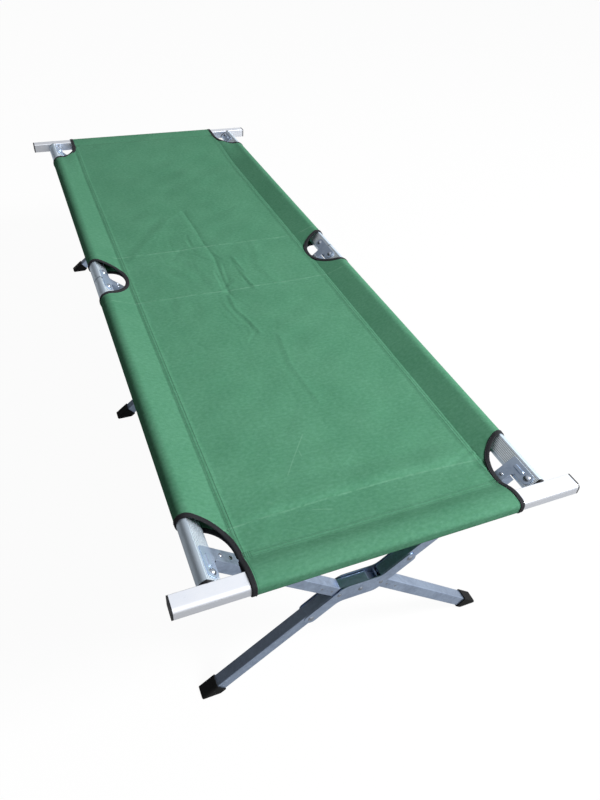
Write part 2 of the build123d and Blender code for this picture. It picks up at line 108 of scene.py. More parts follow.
class Wire:
    """A shader socket that takes part in Python arithmetic."""

    def __init__(self, graph: "Graph", socket: bpy.types.NodeSocket) -> None:
        """Wrap an output socket of the graph."""
        self.graph = graph
        self.socket = socket

    def _math(self, operation: str, *values: "Wire | float") -> "Wire":
        """Add one Math node on these values."""
        return self.graph.node("ShaderNodeMath", {"operation": operation}, dict(enumerate(values)))

    def __add__(self, other: "Wire | float") -> "Wire":
        """Sum of two values."""
        return self._math("ADD", self, other)

    __radd__ = __add__

    def __sub__(self, other: "Wire | float") -> "Wire":
        """This value less another."""
        return self._math("SUBTRACT", self, other)

    def __rsub__(self, other: float) -> "Wire":
        """A number less this value."""
        return self._math("SUBTRACT", other, self)

    def __mul__(self, other: "Wire | float") -> "Wire":
        """Product of two values."""
        return self._math("MULTIPLY", self, other)

    __rmul__ = __mul__

    def __truediv__(self, other: "Wire | float") -> "Wire":
        """This value over another."""
        return self._math("DIVIDE", self, other)

    def __abs__(self) -> "Wire":
        """Size of the value without its sign."""
        return self._math("ABSOLUTE", self)

    def wave(self) -> "Wire":
        """Sine of the value."""
        return self._math("SINE", self)

    def larger(self, other: "Wire | float") -> "Wire":
        """The larger of two values."""
        return self._math("MAXIMUM", self, other)

    def step(self, low: float, high: float) -> "Wire":
        """Rise smoothly from 0 at low to 1 at high."""
        inputs = {"Value": self, 1: low, 2: high, 3: 0.0, 4: 1.0}
        return self.graph.node("ShaderNodeMapRange", {"interpolation_type": "SMOOTHSTEP"}, inputs)


class Graph:
    """The node tree of one material or world, emptied and ready to be filled."""

    def __init__(self, owner: Material | bpy.types.World) -> None:
        """Empty the tree of a new material or world."""
        owner.use_nodes = True
        self.owner = owner
        self.tree = owner.node_tree
        self.tree.nodes.clear()

    @classmethod
    def material(cls, name: str) -> "Graph":
        """Start a material of that name."""
        return cls(bpy.data.materials.new(name))

    def add(self, kind: str, settings: dict | None = None, inputs: dict | None = None) -> bpy.types.Node:
        """Add a node.

        Args:
            kind: The node's type name.
            settings: Its properties by name.
            inputs: Values or wires by socket name or number.

        Returns:
            The new node.
        """
        made = self.tree.nodes.new(kind)
        for name, value in (settings or {}).items():
            setattr(made, name, value)
        for key, value in (inputs or {}).items():
            if isinstance(value, Wire):
                self.tree.links.new(value.socket, made.inputs[key])
            else:
                made.inputs[key].default_value = value
        return made

    def node(
        self, kind: str, settings: dict | None = None, inputs: dict | None = None, output: int | str = 0
    ) -> Wire:
        """Add a node and hand back a wire from one of its outputs."""
        return Wire(self, self.add(kind, settings, inputs).outputs[output])

    def place(self) -> Wire:
        """Position on the piece, in its own frame."""
        return self.node("ShaderNodeTexCoord", output="Object")

    def pattern(self) -> Wire:
        """Position on the flat cut of a cloth, in metres."""
        return self.node("ShaderNodeUVMap", {"uv_map": "pattern"})

    def split(self, vector: Wire) -> tuple[Wire, Wire, Wire]:
        """The three parts of a vector."""
        x, y, z = self.add("ShaderNodeSeparateXYZ", inputs={0: vector}).outputs
        return Wire(self, x), Wire(self, y), Wire(self, z)

    def ray(self, kind: str) -> Wire:
        """1 for light rays of that kind, 0 for the rest."""
        return self.node("ShaderNodeLightPath", output=f"Is {kind} Ray")

    def mirrored(self) -> Wire:
        """1 for light rays that a glossy piece sends on, 0 for the rest."""
        return self.ray("Glossy").larger(self.ray("Transmission"))

    def stretch(self, vector: Wire, scale: Triple) -> Wire:
        """A vector with each part scaled."""
        return self.node("ShaderNodeVectorMath", {"operation": "MULTIPLY"}, {0: vector, 1: scale})

    def noise(
        self, vector: Wire, scale: float | Triple, detail: float = 3.0, roughness: float = 0.5
    ) -> Wire:
        """Make soft noise from 0 to 1.

        Args:
            vector: Position that it is laid out on.
            scale: Features to the metre, the same on all axes or one number for each.
            detail: Number of finer layers.
            roughness: Share of each finer layer.

        Returns:
            The noise.
        """
        if isinstance(scale, tuple):
            vector, scale = self.stretch(vector, scale), 1.0
        inputs = {"Vector": vector, "Scale": scale, "Detail": detail, "Roughness": roughness}
        return self.node("ShaderNodeTexNoise", inputs=inputs)

    def blend(self, share: Wire | float, first: Wire | Colour | str, second: Wire | Colour | str) -> Wire:
        """Mix two colours, each a wire, linear light or the code of a screen colour."""
        tints = [tone(tint) if isinstance(tint, str) else tint for tint in (first, second)]
        inputs = {0: share, 6: tints[0], 7: tints[1]}
        return self.node("ShaderNodeMix", {"data_type": "RGBA"}, inputs, output=2)

    def bump(self, height: Wire, distance: float, strength: float) -> Wire:
        """Surface normal tilted by a height in units of distance."""
        inputs = {"Height": height, "Distance": distance, "Strength": strength}
        return self.node("ShaderNodeBump", inputs=inputs)

    def finish(self, surface: Wire) -> Material | bpy.types.World:
        """Send a shader to the output and hand back the material or world."""
        kind = "World" if isinstance(self.owner, bpy.types.World) else "Material"
        self.add(f"ShaderNodeOutput{kind}", inputs={"Surface": surface})
        return self.owner

    def principled(self, **inputs: "Wire | float | Colour") -> Material:
        """Finish the material with one surface shader, its sockets named with underscores."""
        named = {key.replace("_", " "): value for key, value in inputs.items()}
        return self.finish(self.node("ShaderNodeBsdfPrincipled", inputs=named))


@dataclass(frozen=True)
class Sewing:
    """Where the cover is folded for carrying, seamed and hemmed, as distances from its finished edges."""

    rows: tuple[float, ...] = (0.0022, 0.0078)
    lap: float = 0.0100
    lap_lift: float = 0.0003
    row_sink: float = 0.0003
    row_width: float = 0.0007
    creases: tuple[float, ...] = (-0.813, -0.118, 0.110)
    near_bow: float = 0.010
    crease_lift: float = 0.0007
    crease_reach: float = 0.0022
    crease_waver: tuple[Triple, ...] = ((0.0006, 17.0, 1.3), (0.0004, 41.0, 0.0))

    def insets(self) -> list[float]:
        """Distances inside a finished edge at which its lap and its stitch rows bend the cloth."""
        edge = self.row_width
        laps = [edge, self.lap - edge, self.lap, sum(self.rows) / 2]
        return laps + [row + step * edge for row in self.rows for step in (-1, 0, 1)]


@dataclass(frozen=True)
class CanvasFinish:
    """Coated woven polyester: fine plain weave, faint blotches, dark stitch rows, pale worn folds and
    painted shade on the side strips.

    A band gives the distances from a line at which its colour is gone and at which it is full.
    """

    name: str
    sewing: Sewing
    seam_x: float
    stitch_y: float
    colour: str = "5d987c"
    deep: str = "4e8b6f"
    thin: str = "478060"
    plump: str = "6fa88b"
    warm: str = "4f8c66"
    worn: str = "8fc0a6"
    strip_shade_and_stitches: str = "2f5f47"
    yarn: float = 0.0009
    slub_run: float = 35.0
    slub_pitch: float = 700.0
    fold_band: Band = (0.0028, 0.0002)
    fold_share: float = 0.38
    near_fold_share: float = 0.7
    scratch_band: Band = (0.0016, 0.0006)
    scratch_ends: Band = (0.001, -0.004)
    scratch_share: float = 0.6
    row_band: Band = (0.0009, 0.0002)
    row_share: float = 0.38
    strip_fade: float = 0.0005
    strip_shade_share: float = 0.08
    tack_middle: Spot = (0.0085, 0.0050)
    tack_half: Spot = (0.0115, 0.0080)
    tack_fade: float = 0.0015
    tack_pitch: float = 0.0034
    tack_share: float = 0.5
    scratches: tuple[tuple[Spot, Spot], ...] = (
        ((-0.042, -0.653), (-0.082, -0.706)),
        ((-0.082, -0.706), (-0.109, -0.744)),
        ((-0.098, -0.828), (-0.063, -0.840)),
        ((-0.066, -0.690), (-0.067, -0.709)),
    )

    def material(self) -> Material:
        """Build the cloth's material on the flat pattern's coordinates.

        Returns:
            The finished material.
        """
        graph = Graph.material(self.name)
        flat = graph.pattern()
        across, along, _ = graph.split(flat)
        turns = 2 * pi / self.yarn
        weave = (across * turns).wave() * (along * turns).wave()
        blotch = graph.noise(flat, 9.0, detail=4.0, roughness=0.55)
        slub = graph.noise(flat, (self.slub_run, self.slub_pitch, 1.0), detail=2.0)
        slub_across = graph.noise(flat, (self.slub_pitch, self.slub_run, 1.0), detail=2.0)
        threads = (slub + slub_across - 1.0) * 0.45 + 0.5
        rub = graph.noise(flat, 60.0, detail=5.0, roughness=0.6)
        grain = graph.noise(flat, (120.0, 190.0, 1.0), detail=3.0, roughness=0.6)
        mottle = graph.noise(flat, (90.0, 150.0, 1.0), detail=4.0, roughness=0.65)
        base = graph.blend(blotch.step(0.3, 0.7), self.deep, self.colour)
        lively = threads * 0.4 + grain.step(0.28, 0.72) * 0.6
        base = graph.blend(0.55, base, graph.blend(lively, self.thin, self.plump))
        base = graph.blend(mottle.step(0.36, 0.66) * 0.3, base, self.warm)
        base = graph.blend(rub.step(0.60, 0.8) * 0.16, base, self.worn)
        base = graph.blend(self._worn(across, along, rub) * self.fold_share, base, self.worn)
        # darker stitching, and painted shade over the side strips
        base = graph.blend(self._sewn(across, along), base, self.strip_shade_and_stitches)
        height = weave * 0.5 + threads * 1.5 + mottle * 1.2 + grain * 1.6
        return graph.principled(
            Base_Color=base,
            Roughness=0.74 + 0.12 * blotch,
            Specular_IOR_Level=0.05,
            Normal=graph.bump(height, distance=0.0002, strength=0.5),
        )

    def _worn(self, across: Wire, along: Wire, rub: Wire) -> Wire:
        """Find the worn folds from carrying and the fine scratches in the coating.

        Args:
            across: Place across the flat cloth.
            along: Place along it.
            rub: How rubbed the cloth is there.

        Returns:
            1 where the coating is worn most, 0 where it is whole.
        """
        first, *others = self.sewing.creases
        bow = across * across * (self.sewing.near_bow / self.seam_x**2)
        folds = abs(along - first + bow).step(*self.fold_band) * self.near_fold_share
        for place in others:
            folds = folds.larger(abs(along - place).step(*self.fold_band))
        mask = folds * rub.step(0.34, 0.62)
        before, after = self.scratch_ends
        for (x, y), (end_x, end_y) in self.scratches:
            run_x, run_y = end_x - x, end_y - y
            half = hypot(run_x, run_y) / 2
            ahead = ((across - x) * run_x + (along - y) * run_y) / (2 * half)
            aside = ((along - y) * run_x - (across - x) * run_y) / (2 * half)
            line = abs(ahead - half).step(half + before, half + after) * self.scratch_share
            mask = mask.larger(line * abs(aside).step(*self.scratch_band))
        return mask

    def _sewn(self, across: Wire, along: Wire) -> Wire:
        """Find the side strips, which get painted shade, the stitch rows and the close tacks where the side
        seams end.

        Args:
            across: Place across the flat cloth.
            along: Place along it.

        Returns:
            How dark the cloth is there, from 0 to 1.
        """
        # painted shade: both side strips are darkened as a whole
        strips = abs(across).step(self.seam_x - self.strip_fade, self.seam_x + self.strip_fade)
        mask = strips * self.strip_shade_share
        for inset in self.sewing.rows:
            for place, edge in ((across, self.seam_x), (along, self.stitch_y)):
                row = abs(abs(place) - (edge - inset)).step(*self.row_band)
                mask = mask.larger(row * self.row_share)
        insets = (self.seam_x - abs(across), self.stitch_y - abs(along))
        tacks = (insets[0] * (2 * pi / self.tack_pitch)).wave().step(-0.6, 0.4) * self.tack_share
        for inset, middle, half in zip(insets, self.tack_middle, self.tack_half):
            tacks = tacks * abs(inset - middle).step(half, half - self.tack_fade)
        return mask.larger(tacks)


@dataclass(frozen=True)
class TapeFinish:
    """Ribbed black woven tape."""

    name: str
    colour: str = "15161a"
    pale: str = "292b31"
    rib: float = 0.0011

    def material(self) -> Material:
        """Build the tape's material on the flat pattern's coordinates.

        Returns:
            The finished material.
        """
        graph = Graph.material(self.name)
        flat = graph.pattern()
        across, along, _ = graph.split(flat)
        ribs = (along * (2 * pi / self.rib)).wave()
        cords = (across * (pi / self.rib)).wave()
        fuzz = graph.noise(flat, 900.0, detail=2.0)
        wear = graph.noise(flat, 45.0, detail=3.0)
        base = graph.blend(fuzz * 0.6 + wear.step(0.55, 0.8) * 0.3, self.colour, self.pale)
        return graph.principled(
            Base_Color=base,
            Roughness=0.72 + 0.15 * fuzz,
            Specular_IOR_Level=0.3,
            Normal=graph.bump(ribs * 0.6 + cords * 0.4, distance=0.0002, strength=0.6),
        )


@dataclass(frozen=True)
class ThreadFinish:
    """Sewing thread: twisted, slightly glossy."""

    name: str
    colour: str
    pale: str
    twists: float = 9000.0

    def material(self) -> Material:
        """Build the thread's material.

        Returns:
            The finished material.
        """
        graph = Graph.material(self.name)
        place = graph.place()
        x, y, z = graph.split(place)
        twist = ((x + y + z) * self.twists).wave()
        lot = graph.noise(place, 300.0, detail=2.0)
        return graph.principled(
            Base_Color=graph.blend(lot * 0.6 + twist * 0.2, self.colour, self.pale),
            Roughness=0.5 + 0.1 * lot,
            Normal=graph.bump(twist, distance=0.0001, strength=0.4),
        )


@dataclass(frozen=True)
class DrawnMetal:
    """Bare drawn aluminium: fine lines along the section, faint oxide clouds and rubbed patches."""

    name: str
    grain: Grain
    colour: str
    dull: str
    scuffed: str = "a9b0ba"
    roughness: float = 0.26

    def material(self) -> Material:
        """Build the metal's material.

        Returns:
            The finished material.
        """
        graph = Graph.material(self.name)
        place = graph.place()
        drawn = graph.stretch(place, self.grain.value)
        lines = graph.noise(drawn, 4.0, detail=4.0, roughness=0.65)
        fine = graph.noise(drawn, 16.0, detail=2.0)
        cloud = graph.noise(place, 14.0, detail=4.0, roughness=0.6)
        scuff = graph.noise(graph.stretch(place, (90.0, 90.0, 30.0)), 3.0, detail=5.0, roughness=0.7)
        tarnish = cloud.step(0.35, 0.75) * 0.5 + lines.step(0.4, 0.8) * 0.25
        base = graph.blend(tarnish, self.colour, self.dull)
        base = graph.blend(scuff.step(0.62, 0.72) * 0.2, base, self.scuffed)
        return graph.principled(
            Base_Color=self._detail(graph, place, base),
            Metallic=1.0,
            Roughness=self.roughness + 0.16 * lines + 0.1 * cloud,
            Normal=graph.bump(lines * 0.7 + fine * 0.3, distance=0.00006, strength=0.35),
        )

    def _detail(self, graph: Graph, place: Wire, base: Wire) -> Wire:
        """Colour with what only some sections show; a plain section shows nothing more."""
        return base


@dataclass(frozen=True, kw_only=True)
class GroovedMetal(DrawnMetal):
    """Drawn aluminium of a side rail, with a painted highlight over its flat and painted shade in the
    flat's grooves.
    """

    rail_x: float
    rail_z: float
    lean: float = 39.7
    pitch: float = 0.0032
    count: int = 8
    floor_height: float = 0.0106
    floor_fade: float = 0.0003
    edge_fade: float = 0.0002
    # ridge is a painted highlight laid over the whole flat, for the light the flat mirrors
    ridge: str = "f1f9ff"
    flat_highlight_share: float = 0.9
    # painted shade in the grooves, where shade falls into them
    groove_shade: str = "455564"
    groove_shade_share: float = 0.55

    def _detail(self, graph: Graph, place: Wire, base: Wire) -> Wire:
        """Paint a highlight over the rail's flat and paint shade into its grooves.

        Args:
            graph: The material's node tree.
            place: Position on the rail.
            base: Colour of the plain metal.

        Returns:
            The colour with the flat's painted highlight and the grooves' painted shade.
        """
        x, _, z = graph.split(place)
        out, up = abs(x) - self.rail_x, z - self.rail_z
        turn = radians(self.lean)
        across = out * cos(turn) + up * sin(turn)
        above = up * cos(turn) - out * sin(turn)
        grooves = (across * (2 * pi / self.pitch) - pi / 2).wave().step(0.2, 0.75)
        edge = self.count * self.pitch / 2
        flat = above.step(self.floor_height, self.floor_height + self.floor_fade)
        flat = flat * abs(across).step(edge, edge - self.edge_fade)
        # painted highlight over the flat
        base = graph.blend(flat * self.flat_highlight_share, base, self.ridge)
        # painted shade in the grooves
        return graph.blend(grooves * flat * self.groove_shade_share, base, self.groove_shade)


@dataclass(frozen=True)
class PlatedSteel:
    """Zinc-plated or galvanised steel: a faint spangle, water marks and darker specks."""

    name: str
    colour: str
    dark: str
    spangle: float
    roughness: float = 0.26
    metallic: float = 0.97
    specks: str = "4c4f57"

    def material(self) -> Material:
        """Build the plated metal's material.

        Returns:
            The finished material.
        """
        graph = Graph.material(self.name)
        place = graph.place()
        cells = {"Vector": place, "Scale": self.spangle}
        flake, _, _ = graph.split(graph.node("ShaderNodeTexVoronoi", inputs=cells, output="Color"))
        cloud = graph.noise(place, 22.0, detail=5.0, roughness=0.6)
        speck = graph.noise(place, 420.0, detail=3.0)
        share = flake * 0.3 + cloud.step(0.3, 0.75) * 0.5
        base = graph.blend(share, self.colour, self.dark)
        return graph.principled(
            Base_Color=graph.blend(speck.step(0.66, 0.78) * 0.5, base, self.specks),
            Metallic=self.metallic,
            Roughness=self.roughness + 0.14 * cloud + 0.08 * flake,
            Normal=graph.bump(speck + flake * 0.3, distance=0.00005, strength=0.3),
        )


@dataclass(frozen=True)
class DarkMoulding:
    """Black rubber or plastic with a fine moulded grain and dusty patches."""

    name: str
    colour: str
    dusty: str
    roughness: float
    grain: float
    sheen: float

    def material(self) -> Material:
        """Build the moulded material.

        Returns:
            The finished material.
        """
        graph = Graph.material(self.name)
        place = graph.place()
        grit = graph.noise(place, self.grain, detail=3.0, roughness=0.6)
        dust = graph.noise(place, 70.0, detail=4.0, roughness=0.6)
        share = dust.step(0.5, 0.85) * 0.5 + grit * 0.15
        return graph.principled(
            Base_Color=graph.blend(share, self.colour, self.dusty),
            Roughness=self.roughness + 0.2 * dust,
            Specular_IOR_Level=self.sheen,
            Normal=graph.bump(grit, distance=0.00012, strength=0.5),
        )


@dataclass(frozen=True)
class CotPlan:
    """Places of the frame that the cloth is hung on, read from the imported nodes."""

    rail_x: float
    rail_z: float
    rail_radius: float
    seam_x: float
    hem_y: float
    bed_z: float
    bar_flat_y: float
    bar_outer_y: float
    bar_bottom: float
    bar_top: float
    bar_edge: float = 0.008
    cut_inset: float = 0.055
    corner_run: float = 0.092
    corner_bend_inset: float = 0.006
    middle_run: float = 0.080
    hem_shift: float = 0.003
    rim_gap: float = 0.0016

    @classmethod
    def from_frame(cls) -> "CotPlan":
        """Read the places from the boxes of the rails, the bars and the bed panel.

        Returns:
            The plan of this cot.
        """
        rail_low, rail_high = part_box("rail_right_near")
        bed_low, bed_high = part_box("bed_panel")
        bar_low, bar_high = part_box("end_bar_far")
        radius = (rail_high.x - rail_low.x) / 2
        return cls(
            rail_x=rail_low.x + radius,
            rail_z=rail_low.z + radius,
            rail_radius=radius,
            seam_x=bed_high.x,
            hem_y=bed_high.y,
            bed_z=(bed_low.z + bed_high.z) / 2,
            bar_flat_y=bar_low.y,
            bar_outer_y=bar_high.y,
            bar_bottom=bar_low.z,
            bar_top=bar_high.z,
        )

    @property
    def cut_x(self) -> float:
        """How far out the cut-outs begin."""
        return self.rail_x - self.cut_inset

    @property
    def rim_x(self) -> float:
        """Outermost reach of the sleeve round a rail."""
        return self.rail_x + self.rail_radius + self.rim_gap

    @property
    def stitch_y(self) -> float:
        """Where the hems round the end bars are sewn down."""
        return self.hem_y + self.hem_shift

    @property
    def corner_y(self) -> float:
        """Where a corner cut-out's curve runs into its straight edge."""
        return self.hem_y - self.corner_bend_inset

    def opening(self, x: Array) -> Array:
        """Share of a cut-out's run that is cut away at these places across, from 0 to 1."""
        reach = (self.rim_x - np.maximum(x, self.cut_x)) / (self.rim_x - self.cut_x)
        return np.sqrt(np.clip(1 - reach**2, 0, 1))


def smooth(value: Array, low: float, high: float) -> Array:
    """Rise smoothly from 0 at low to 1 at high."""
    share = np.clip((value - low) / (high - low), 0, 1)
    return share * share * (3 - 2 * share)


def refined(low: float, high: float, step: float, extras: list[float], clearance: float = 0.3) -> Array:
    """Evenly spaced places with some more in between.

    Args:
        low: The first place.
        high: The last place.
        step: The even spacing.
        extras: Places to add, which take over from even ones close by.
        clearance: How close that is, in steps.

    Returns:
        All places in order.
    """
    even = np.linspace(low, high, round((high - low) / step) + 1)
    added = np.array([place for place in extras if low < place < high])
    clear = np.min(np.abs(even[:, None] - added), axis=1) > clearance * step
    clear[[0, -1]] = True
    return np.unique(np.concatenate([even[clear], added]))


def arc_lengths(points: Array) -> Array:
    """Distance along a line of points from its first point."""
    steps = np.linalg.norm(np.diff(points, axis=0), axis=1)
    return np.concatenate([[0.0], np.cumsum(steps)])


def unit(vectors: Array) -> Array:
    """Vectors of length 1."""
    return vectors / np.maximum(np.linalg.norm(vectors, axis=-1, keepdims=True), 1e-12)


def points_of(*parts: Array | float) -> Array:
    """One row of coordinates per point, from each coordinate's values."""
    return np.stack(np.broadcast_arrays(*parts), axis=-1)


def mesh_piece(name: str, points: Array, faces: list, pattern: Array | None = None) -> Object:
    """Make a smooth-shaded mesh object.

    Args:
        name: The piece's name.
        points: One row of three coordinates per vertex.
        faces: Vertex numbers of each face.
        pattern: Flat cut coordinates per vertex, in metres.

    Returns:
        The new object, linked into the scene.
    """
    mesh = bpy.data.meshes.new(name)
    mesh.from_pydata(points.tolist(), [], faces)
    mesh.update()
    if pattern is not None:
        layer = mesh.uv_layers.new(name="pattern")
        loop_vertices = np.zeros(len(mesh.loops), dtype=np.int32)
        mesh.loops.foreach_get("vertex_index", loop_vertices)
        layer.data.foreach_set("uv", pattern[loop_vertices].astype(np.float32).ravel())
    mesh.shade_smooth()
    piece = bpy.data.objects.new(name, mesh)
    bpy.context.scene.collection.objects.link(piece)
    return piece


def grid_faces(index: Array, flip: bool = False) -> list:
    """Lay four-sided faces over a grid of vertices.

    Args:
        index: The grid's vertex numbers.
        flip: Whether the faces look the other way.

    Returns:
        Four vertex numbers per face.
    """
    corners = [index[:-1, :-1], index[1:, :-1], index[1:, 1:], index[:-1, 1:]]
    if flip:
        corners.reverse()
    return np.stack(corners, axis=-1).reshape(-1, 4).tolist()


@dataclass
class EdgeLine:
    """A cut edge of the canvas: its points, the cloth's outward normal and the way into the cloth."""

    points: Array
    normals: Array
    inwards: Array
    closed: bool = False

    def part(self, choice: slice) -> "EdgeLine":
        """Some of the edge's points."""
        return EdgeLine(self.points[choice], self.normals[choice], self.inwards[choice])

    def joined(self, other: "EdgeLine", closed: bool = False) -> "EdgeLine":
        """This edge carried on by another."""
        pairs = zip((self.points, self.normals, self.inwards), (other.points, other.normals, other.inwards))
        return EdgeLine(*map(np.concatenate, pairs), closed)


@dataclass(frozen=True)
class Wrinkle:
    """A soft ridge along a line on the bed, or a furrow where its lift is negative.

    A hollow beside it, on the left of the line's run where its share is positive, makes it a pleat.
    """

    line: tuple[Spot, ...]
    width: float
    lift: float
    hollow: float = 0.0
    crest: float = 0.0007
    hollow_away: float = 1.7
    end_fade: float = 2.0

    def height(self, x: Array, y: Array) -> Array:
        """Find its height over the bed.

        Args:
            x: Places across the cot.
            y: Places along the cot.

        Returns:
            Heights at these places.
        """
        form = np.zeros(np.shape(x))
        for first, last in zip(self.line, self.line[1:]):
            run = np.subtract(last, first)
            length = hypot(*run)
            ahead = ((x - first[0]) * run[0] + (y - first[1]) * run[1]) / length
            aside = ((y - first[1]) * run[0] - (x - first[0]) * run[1]) / length
            past = np.maximum(np.maximum(-ahead, ahead - length), 0)
            shift = self.hollow_away * self.width * np.sign(self.hollow)
            ridge = np.exp(-np.hypot(aside, self.crest) / self.width)
            ridge = ridge - abs(self.hollow) * np.exp(-(((aside - shift) / self.width) ** 2))
            ridge = ridge * np.exp(-((past / (self.end_fade * self.width)) ** 2))
            form = np.where(np.abs(ridge) > np.abs(form), ridge, form)
        return self.lift * form


@dataclass(frozen=True)
class Scatter:
    """Small seeded wrinkles of one kind, each drawn from these bands.

    Where they are gathered, the bands of their place across and their turn are a mean and a spread.
    """

    count: int
    across: Band
    along: Band
    turn: Band
    half: Band
    width: Band
    lift: Band
    hollow: float = 0.0
    gathered: bool = False

    def draw(self, chance: np.random.Generator) -> list[Wrinkle]:
        """Draw all of them in turn."""
        return [self._draw_one(chance) for _ in range(self.count)]

    def _draw_one(self, chance: np.random.Generator) -> Wrinkle:
        """Draw one short straight wrinkle.

        Args:
            chance: The source of random numbers.

        Returns:
            The wrinkle.
        """
        loose = chance.normal if self.gathered else chance.uniform
        x, y = loose(*self.across), chance.uniform(*self.along)
        turn, half = loose(*self.turn), chance.uniform(*self.half)
        first = (x - half * cos(turn), y - half * sin(turn))
        last = (x + half * cos(turn), y + half * sin(turn))
        return Wrinkle((first, last), chance.uniform(*self.width), chance.uniform(*self.lift), self.hollow)


@dataclass
class Canvas:
    """The cot's one-piece cover: bed, sleeves sewn round the rails, hems sewn round the end bars."""

    plan: CotPlan
    sewing: Sewing
    spacing: float = 0.0048
    thickness: float = 0.0012
    gap: float = 0.0004
    drop: float = 0.0015
    sleeve_layers: float = 1.4
    hem_layers: float = 1.6
    sag: float = 0.0010
    near_rise: float = 0.0045
    near_hollow: float = 0.0020
    hollow_reach: float = 0.055
    far_rise: float = 0.0145
    far_rise_run: float = 0.270
    swell: float = 0.0050
    swell_run: float = 0.016
    swell_end: float = 0.062
    swell_mean: float = 0.85
    swell_lean: float = 0.4
    ripple: float = 0.0110
    ripple_count: int = 16
    ripple_waves: Band = (15.0, 110.0)
    turn_out: float = 0.014
    relief_end: float = 0.006
    creased_zone: Band = (-0.075, 0.060)
    crease_steps: tuple[float, ...] = (0.4, 0.8, 1.4, 2.4, 4.0)
    near_fold_step: float = 0.0018
    line_steps: int = 14
    arc_steps: int = 32
    ramp_steps: int = 24
    corner_steps: int = 8
    seed: int = 11
    wrinkles: tuple[Wrinkle, ...] = (
        Wrinkle(((-0.012, 0.340), (-0.009, 0.220), (-0.011, 0.128), (-0.004, 0.064), (-0.010, 0.004),
                 (-0.020, -0.118)), 0.0065, -0.0023),
        Wrinkle(((-0.020, -0.118), (-0.016, -0.146)), 0.0060, -0.0012),
        Wrinkle(((0.042, 0.026), (0.046, -0.018), (0.045, -0.053), (0.048, -0.117)),
                0.0065, 0.0019, -0.2),
        Wrinkle(((-0.024, -0.150), (-0.028, -0.205), (-0.014, -0.255), (-0.006, -0.306)),
                0.0052, 0.0013, -0.5),
        Wrinkle(((-0.012, 0.350), (-0.038, 0.324), (-0.095, 0.275)), 0.0060, 0.0005, 0.4),
        Wrinkle(((-0.084, 0.274), (-0.150, 0.180), (-0.207, 0.098)), 0.0150, 0.0011, -0.6),
        Wrinkle(((-0.055, 0.154), (-0.054, 0.118)), 0.0040, 0.0010, 0.6),
        Wrinkle(((-0.054, 0.118), (-0.046, 0.086)), 0.0040, -0.0009),
        Wrinkle(((-0.081, 0.108), (-0.112, 0.071)), 0.0100, -0.0013),
        Wrinkle(((-0.121, -0.130), (-0.116, -0.175)), 0.0100, -0.0011),
        Wrinkle(((-0.165, -0.130), (-0.172, -0.180)), 0.0100, -0.0011),
        Wrinkle(((-0.030, -0.278), (0.002, -0.300), (0.028, -0.325)), 0.0055, 0.0009, 0.6),
        Wrinkle(((0.031, -0.342), (0.018, -0.443), (0.026, -0.568)), 0.0070, 0.0008, -0.5),
        Wrinkle(((-0.205, 0.060), (-0.150, 0.030), (-0.110, -0.040)), 0.0130, -0.0015, 0.6),
        Wrinkle(((-0.120, 0.100), (-0.060, 0.030), (-0.040, -0.100)), 0.0120, 0.0009, -0.6),
        Wrinkle(((0.120, 0.080), (0.095, -0.020), (0.110, -0.110)), 0.0120, 0.0010, -0.6),
        Wrinkle(((0.205, -0.821), (0.252, -0.804), (0.279, -0.801)), 0.0060, 0.0010, 0.8),
        Wrinkle(((0.215, -0.850), (0.262, -0.840)), 0.0060, 0.0007, 0.8),
    )
    scatters: tuple[Scatter, ...] = (
        Scatter(26, across=(-0.21, 0.21), along=(-0.85, 0.85), turn=(0.0, pi), half=(0.02, 0.07),
                width=(0.004, 0.009), lift=(-0.0006, 0.0007)),
        Scatter(34, across=(-0.01, 0.055), along=(-0.34, 0.36), turn=(1.75, 0.45), half=(0.012, 0.045),
                width=(0.003, 0.005), lift=(-0.0012, 0.0012), hollow=0.5, gathered=True),
    )
    ripples: list[Triple] = field(init=False)
    small: list[Wrinkle] = field(init=False)
    bed_level: float = field(init=False)
    points: Array = field(init=False)
    pattern: Array = field(init=False)
    faces: list = field(init=False)
    edges: dict = field(init=False)

    def __post_init__(self) -> None:
        """Draw the small creases once, then lay the cloth out."""
        chance = np.random.default_rng(self.seed)
        self.ripples = [
            (chance.uniform(*self.ripple_waves), chance.uniform(0, 2 * pi), chance.uniform(0, 2 * pi))
            for _ in range(self.ripple_count)
        ]
        self.small = [wrinkle for kind in self.scatters for wrinkle in kind.draw(chance)]
        self.bed_level = self.plan.bed_z - self.drop
        self._lay_out()

    def _lap(self, inset: Array) -> Array:
        """Find the height of a stitched lap.

        Args:
            inset: Distances inside the lap's edge.

        Returns:
            Heights there, lower in the stitch rows.
        """
        sewing = self.sewing
        edge = sewing.row_width
        fall = 1 - smooth(inset, sewing.lap - edge, sewing.lap)
        height = sewing.lap_lift * smooth(inset, 0, edge) * fall
        for row in sewing.rows:
            height = height - sewing.row_sink * np.exp(-(((inset - row) / sewing.row_width) ** 2))
        return height

